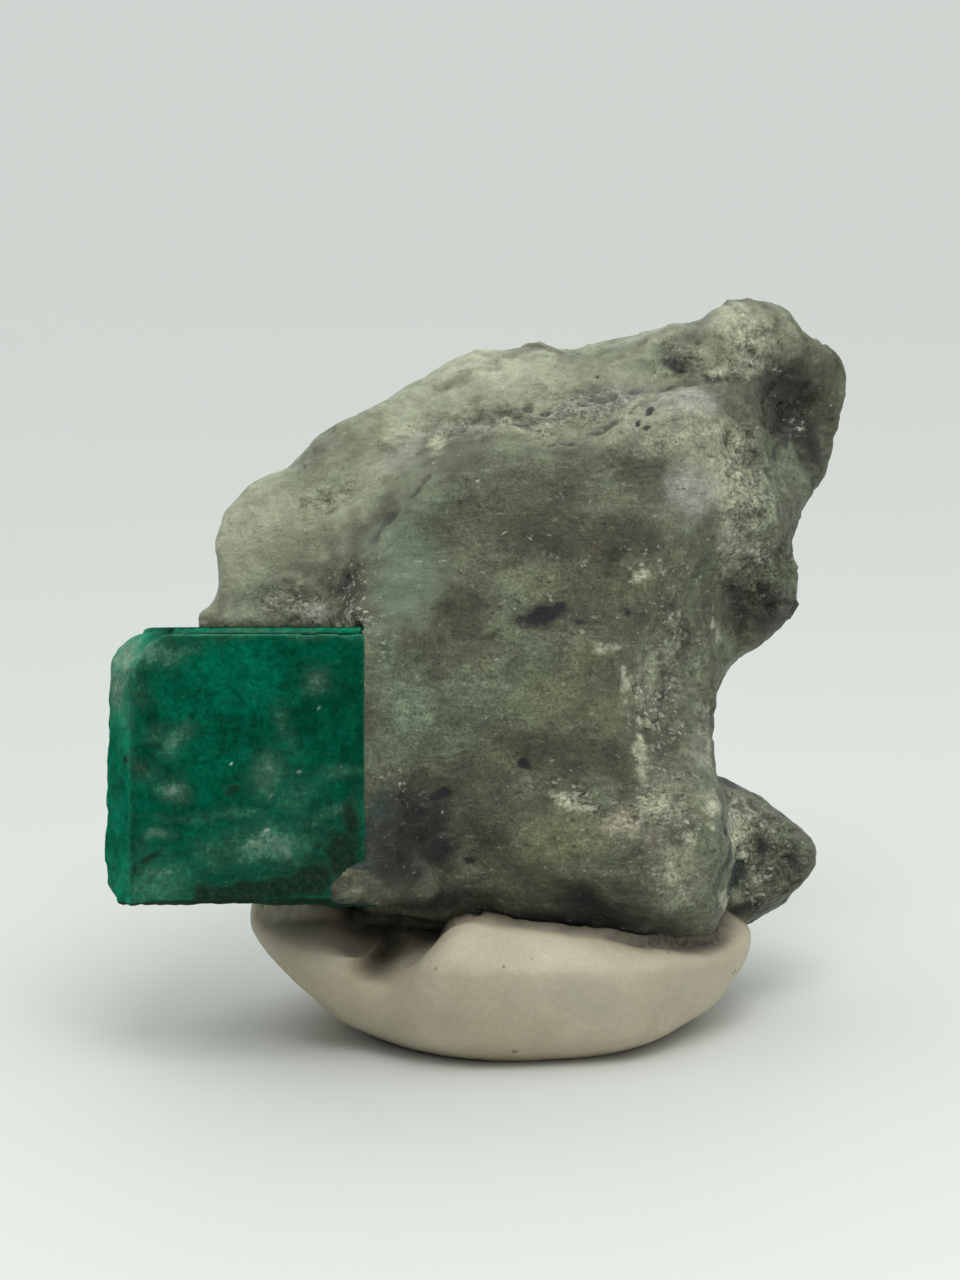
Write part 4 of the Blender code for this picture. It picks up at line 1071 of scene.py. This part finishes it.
def putty_mesh(crystal, rock):
    """The putty, pressed up against the stone that it holds."""
    mesh = softened(remeshed(solid_mesh("putty_base"), PUTTY_DETAIL), PUTTY_PASSES)
    places, normals = places_and_normals(mesh)
    off_floor = smoothstep(0.05, 0.5, places @ np.array(LEAN.to_3x3())[2])
    places += normals * (off_floor * waves(places, PUTTY_WAVES))[:, None]
    x, y, z = places.T
    dig = fading(distance_to_line(places, PUTTY_HOLLOW), PUTTY_HOLLOW_WIDTH)
    upper = smoothstep(2.5, 4.5, -y) * smoothstep(0.3, 0.7, normals[:, 2])
    dig *= np.maximum(smoothstep(0.0, 0.5, -normals[:, 1]), upper) * smoothstep(1.2, 2.6, z)
    y += PUTTY_HOLLOW_DEPTH * dig
    dip_x, dip_y, dip_radius = PUTTY_DIP
    dip = fading(np.hypot(x - dip_x, y - dip_y), dip_radius) * smoothstep(2.2, 3.6, z)
    z -= PUTTY_DIP_DEPTH * dip
    for stone in (rock, crystal):
        skin = surface_of(stone)
        under = smoothstep(0.35, 0.8, normals[:, 2]) * smoothstep(-6.0, -4.8, places[:, 1])
        share = under * closeness(skin, places, normals) * (1.0 - smoothstep(0.03, 0.25, dip))
        places = pressed(skin, places, share)
    away = nearest(surface_of(rock), places)[2]
    crease = fading(away, PUTTY_CREASE_REACH)
    crease *= smoothstep(0.0, 0.4, -normals[:, 1]) * smoothstep(1.0, 3.0, -places[:, 1])
    places -= normals * (PUTTY_CREASE_DEPTH * crease)[:, None]
    move_to(mesh, places)
    # Painted shade: darker along the crease, near the rock and in the dip
    contact_shade = np.maximum(crease, fading(away, PUTTY_SHADE_REACH))
    contact_shade = np.maximum(contact_shade, smoothstep(0.25, 0.7, dip))
    smudge = smoothstep(0.1, 0.6, smooth_noise(places, 2.6, 101.0))
    paint(mesh, "marks", (smudge, contact_shade, dig))
    return mesh


def putty_material():
    material, shader, place = new_material("putty")
    smudge, contact_shade, hollow, _ = masks(material, "marks")
    broad = noise_value(place, 0.4, 4.0, 0.5)
    fine = noise_value(place, 4.0, 7.0, 0.72)
    finest = noise_value(place, 11.0, 3.0, 0.7)
    size = noise_value(place, 0.9, 1.0)

    colour = mixed(between(broad, 0.35, 0.65), *PUTTY_COLOURS)
    colour = mixed(times(smudge, 0.35), colour, SMUDGE_COLOUR)
    # Painted shade in the hollow, the dip and the crease, and near the rock
    painted_shade = times(largest(contact_shade, hollow), between(fine, 0.3, 0.7, 0.8, 0.97))
    colour = mixed(painted_shade, colour, PAINTED_SHADE_COLOUR)
    for texture in (fine, finest):
        colour = shaded(colour, between(texture, 0.3, 0.7, 0.95, 1.05))
    reach = between(size, 0.4, 0.7, 0.0, 0.09)
    dot = arithmetic("SUBTRACT", cells(place, 0.9)["Distance"], reach)
    dot = between(dot, 0.0, 0.03, 1.0, 0.0)
    colour = mixed(times(dot, 0.6), colour, DOT_COLOUR)
    set_inputs(shader, {
        "Base Color": colour,
        "Roughness": between(fine, 0.3, 0.7, 0.5, 0.68),
        "Subsurface Weight": 0.15,
        "Subsurface Radius": (1.0, 0.8, 0.5),
        "Subsurface Scale": 0.5 * MM,
        "Normal": bumped(fine, 0.06, 0.5),
    })
    return material


# ---- studio -----------------------------------------------------------------------------

CAMERA_ELEVATION_DEG = 12.0
CAMERA_DISTANCE = 118.5
CAMERA_TARGET = Vector((-1.333, -0.280, 13.112))
CAMERA_LENS = 100.0
SENSOR_WIDTH = 27.0
SENSOR_HEIGHT = 36.0

# The lights, as (name, place, size, power, colour), and what they are turned to
LIGHTS = (
    ("softbox", (5.0, -50.0, 105.0), 60.0, 0.05, (1.0, 0.99, 0.97)),
    ("fill", (110.0, -130.0, 60.0), 90.0, 0.03, (1.0, 1.0, 0.98)),
)
LIGHTS_TARGET = Vector((0.0, 0.0, 14.0))

# Light of the room: the way that its bright side lies, its strength, and its colour
WORLD_LIT_FROM = (0.0, 0.35, 0.94)
WORLD_DIM = 0.03
WORLD_BRIGHT = 1.3
WORLD_COLOUR = (0.93, 0.98, 0.95, 1.0)

FLOOR_SIZE = 8000.0
FLOOR_COLOURS = (0.655, 0.675, 0.655), (0.665, 0.685, 0.665)


def add_camera():
    data = bpy.data.cameras.new("camera")
    data.lens = CAMERA_LENS
    data.sensor_fit = "VERTICAL"
    data.sensor_height = SENSOR_HEIGHT
    data.sensor_width = SENSOR_WIDTH
    data.clip_start = 1.0 * MM
    data.clip_end = 10.0
    camera = add_object("camera", data)
    elevation = math.radians(CAMERA_ELEVATION_DEG)
    back = Vector((0.0, -math.cos(elevation), math.sin(elevation)))
    camera.location = (CAMERA_TARGET + back * CAMERA_DISTANCE) * MM
    camera.rotation_euler = (-back).to_track_quat("-Z", "Y").to_euler()
    bpy.context.scene.camera = camera


def add_area_light(name, place, size, power, colour):
    """A square light; its place and size are in millimetres."""
    data = bpy.data.lights.new(name, "AREA")
    data.shape = "SQUARE"
    data.size = size * MM
    data.energy = power
    data.color = colour
    light = add_object(name, data)
    light.location = Vector(place) * MM
    light.rotation_euler = (LIGHTS_TARGET - Vector(place)).to_track_quat("-Z", "Y").to_euler()


def add_floor():
    """A wide pale floor, out to the top of the picture."""
    half = FLOOR_SIZE / 2.0 * MM
    corners = [(-half, -half, 0.0), (half, -half, 0.0), (half, half, 0.0), (-half, half, 0.0)]
    mesh = bpy.data.meshes.new("floor")
    mesh.from_pydata(corners, [], [(0, 1, 2, 3)])
    material, shader, place = new_material("floor")
    colour = mixed(between(noise_value(place, 0.01, 2.0), 0.3, 0.7), *FLOOR_COLOURS)
    set_inputs(shader, {"Base Color": colour, "Roughness": 0.6})
    mesh.materials.append(material)
    add_object("floor", mesh)


def add_world():
    """Soft light from above and behind, and a dim room in front."""
    world = bpy.data.worlds.new("studio")
    world.use_nodes = True
    tree = world.node_tree
    direction = add_node(tree, "ShaderNodeTexCoord", {}).outputs["Generated"]
    values = {0: direction, 1: Vector(WORLD_LIT_FROM).normalized()}
    facing = add_node(tree, "ShaderNodeVectorMath", values, operation="DOT_PRODUCT").outputs["Value"]
    strength = between(facing, 0.0, 0.9, WORLD_DIM, WORLD_BRIGHT)
    set_inputs(tree.nodes["Background"], {"Color": WORLD_COLOUR, "Strength": strength})
    bpy.context.scene.world = world


def add_studio():
    add_camera()
    add_floor()
    add_world()
    for light in LIGHTS:
        add_area_light(*light)
    bpy.context.scene.view_settings.view_transform = "Standard"


# ---- the whole --------------------------------------------------------------------------

crystal = emerald_mesh()
rock = rock_mesh(crystal)
putty = putty_mesh(crystal, rock)
add_piece("emerald", crystal, emerald_material(), "emerald_crystal")
add_piece("schist_rock", rock, rock_material(), "matrix_rock")
add_piece("putty", putty, putty_material(), "putty_base")
add_studio()
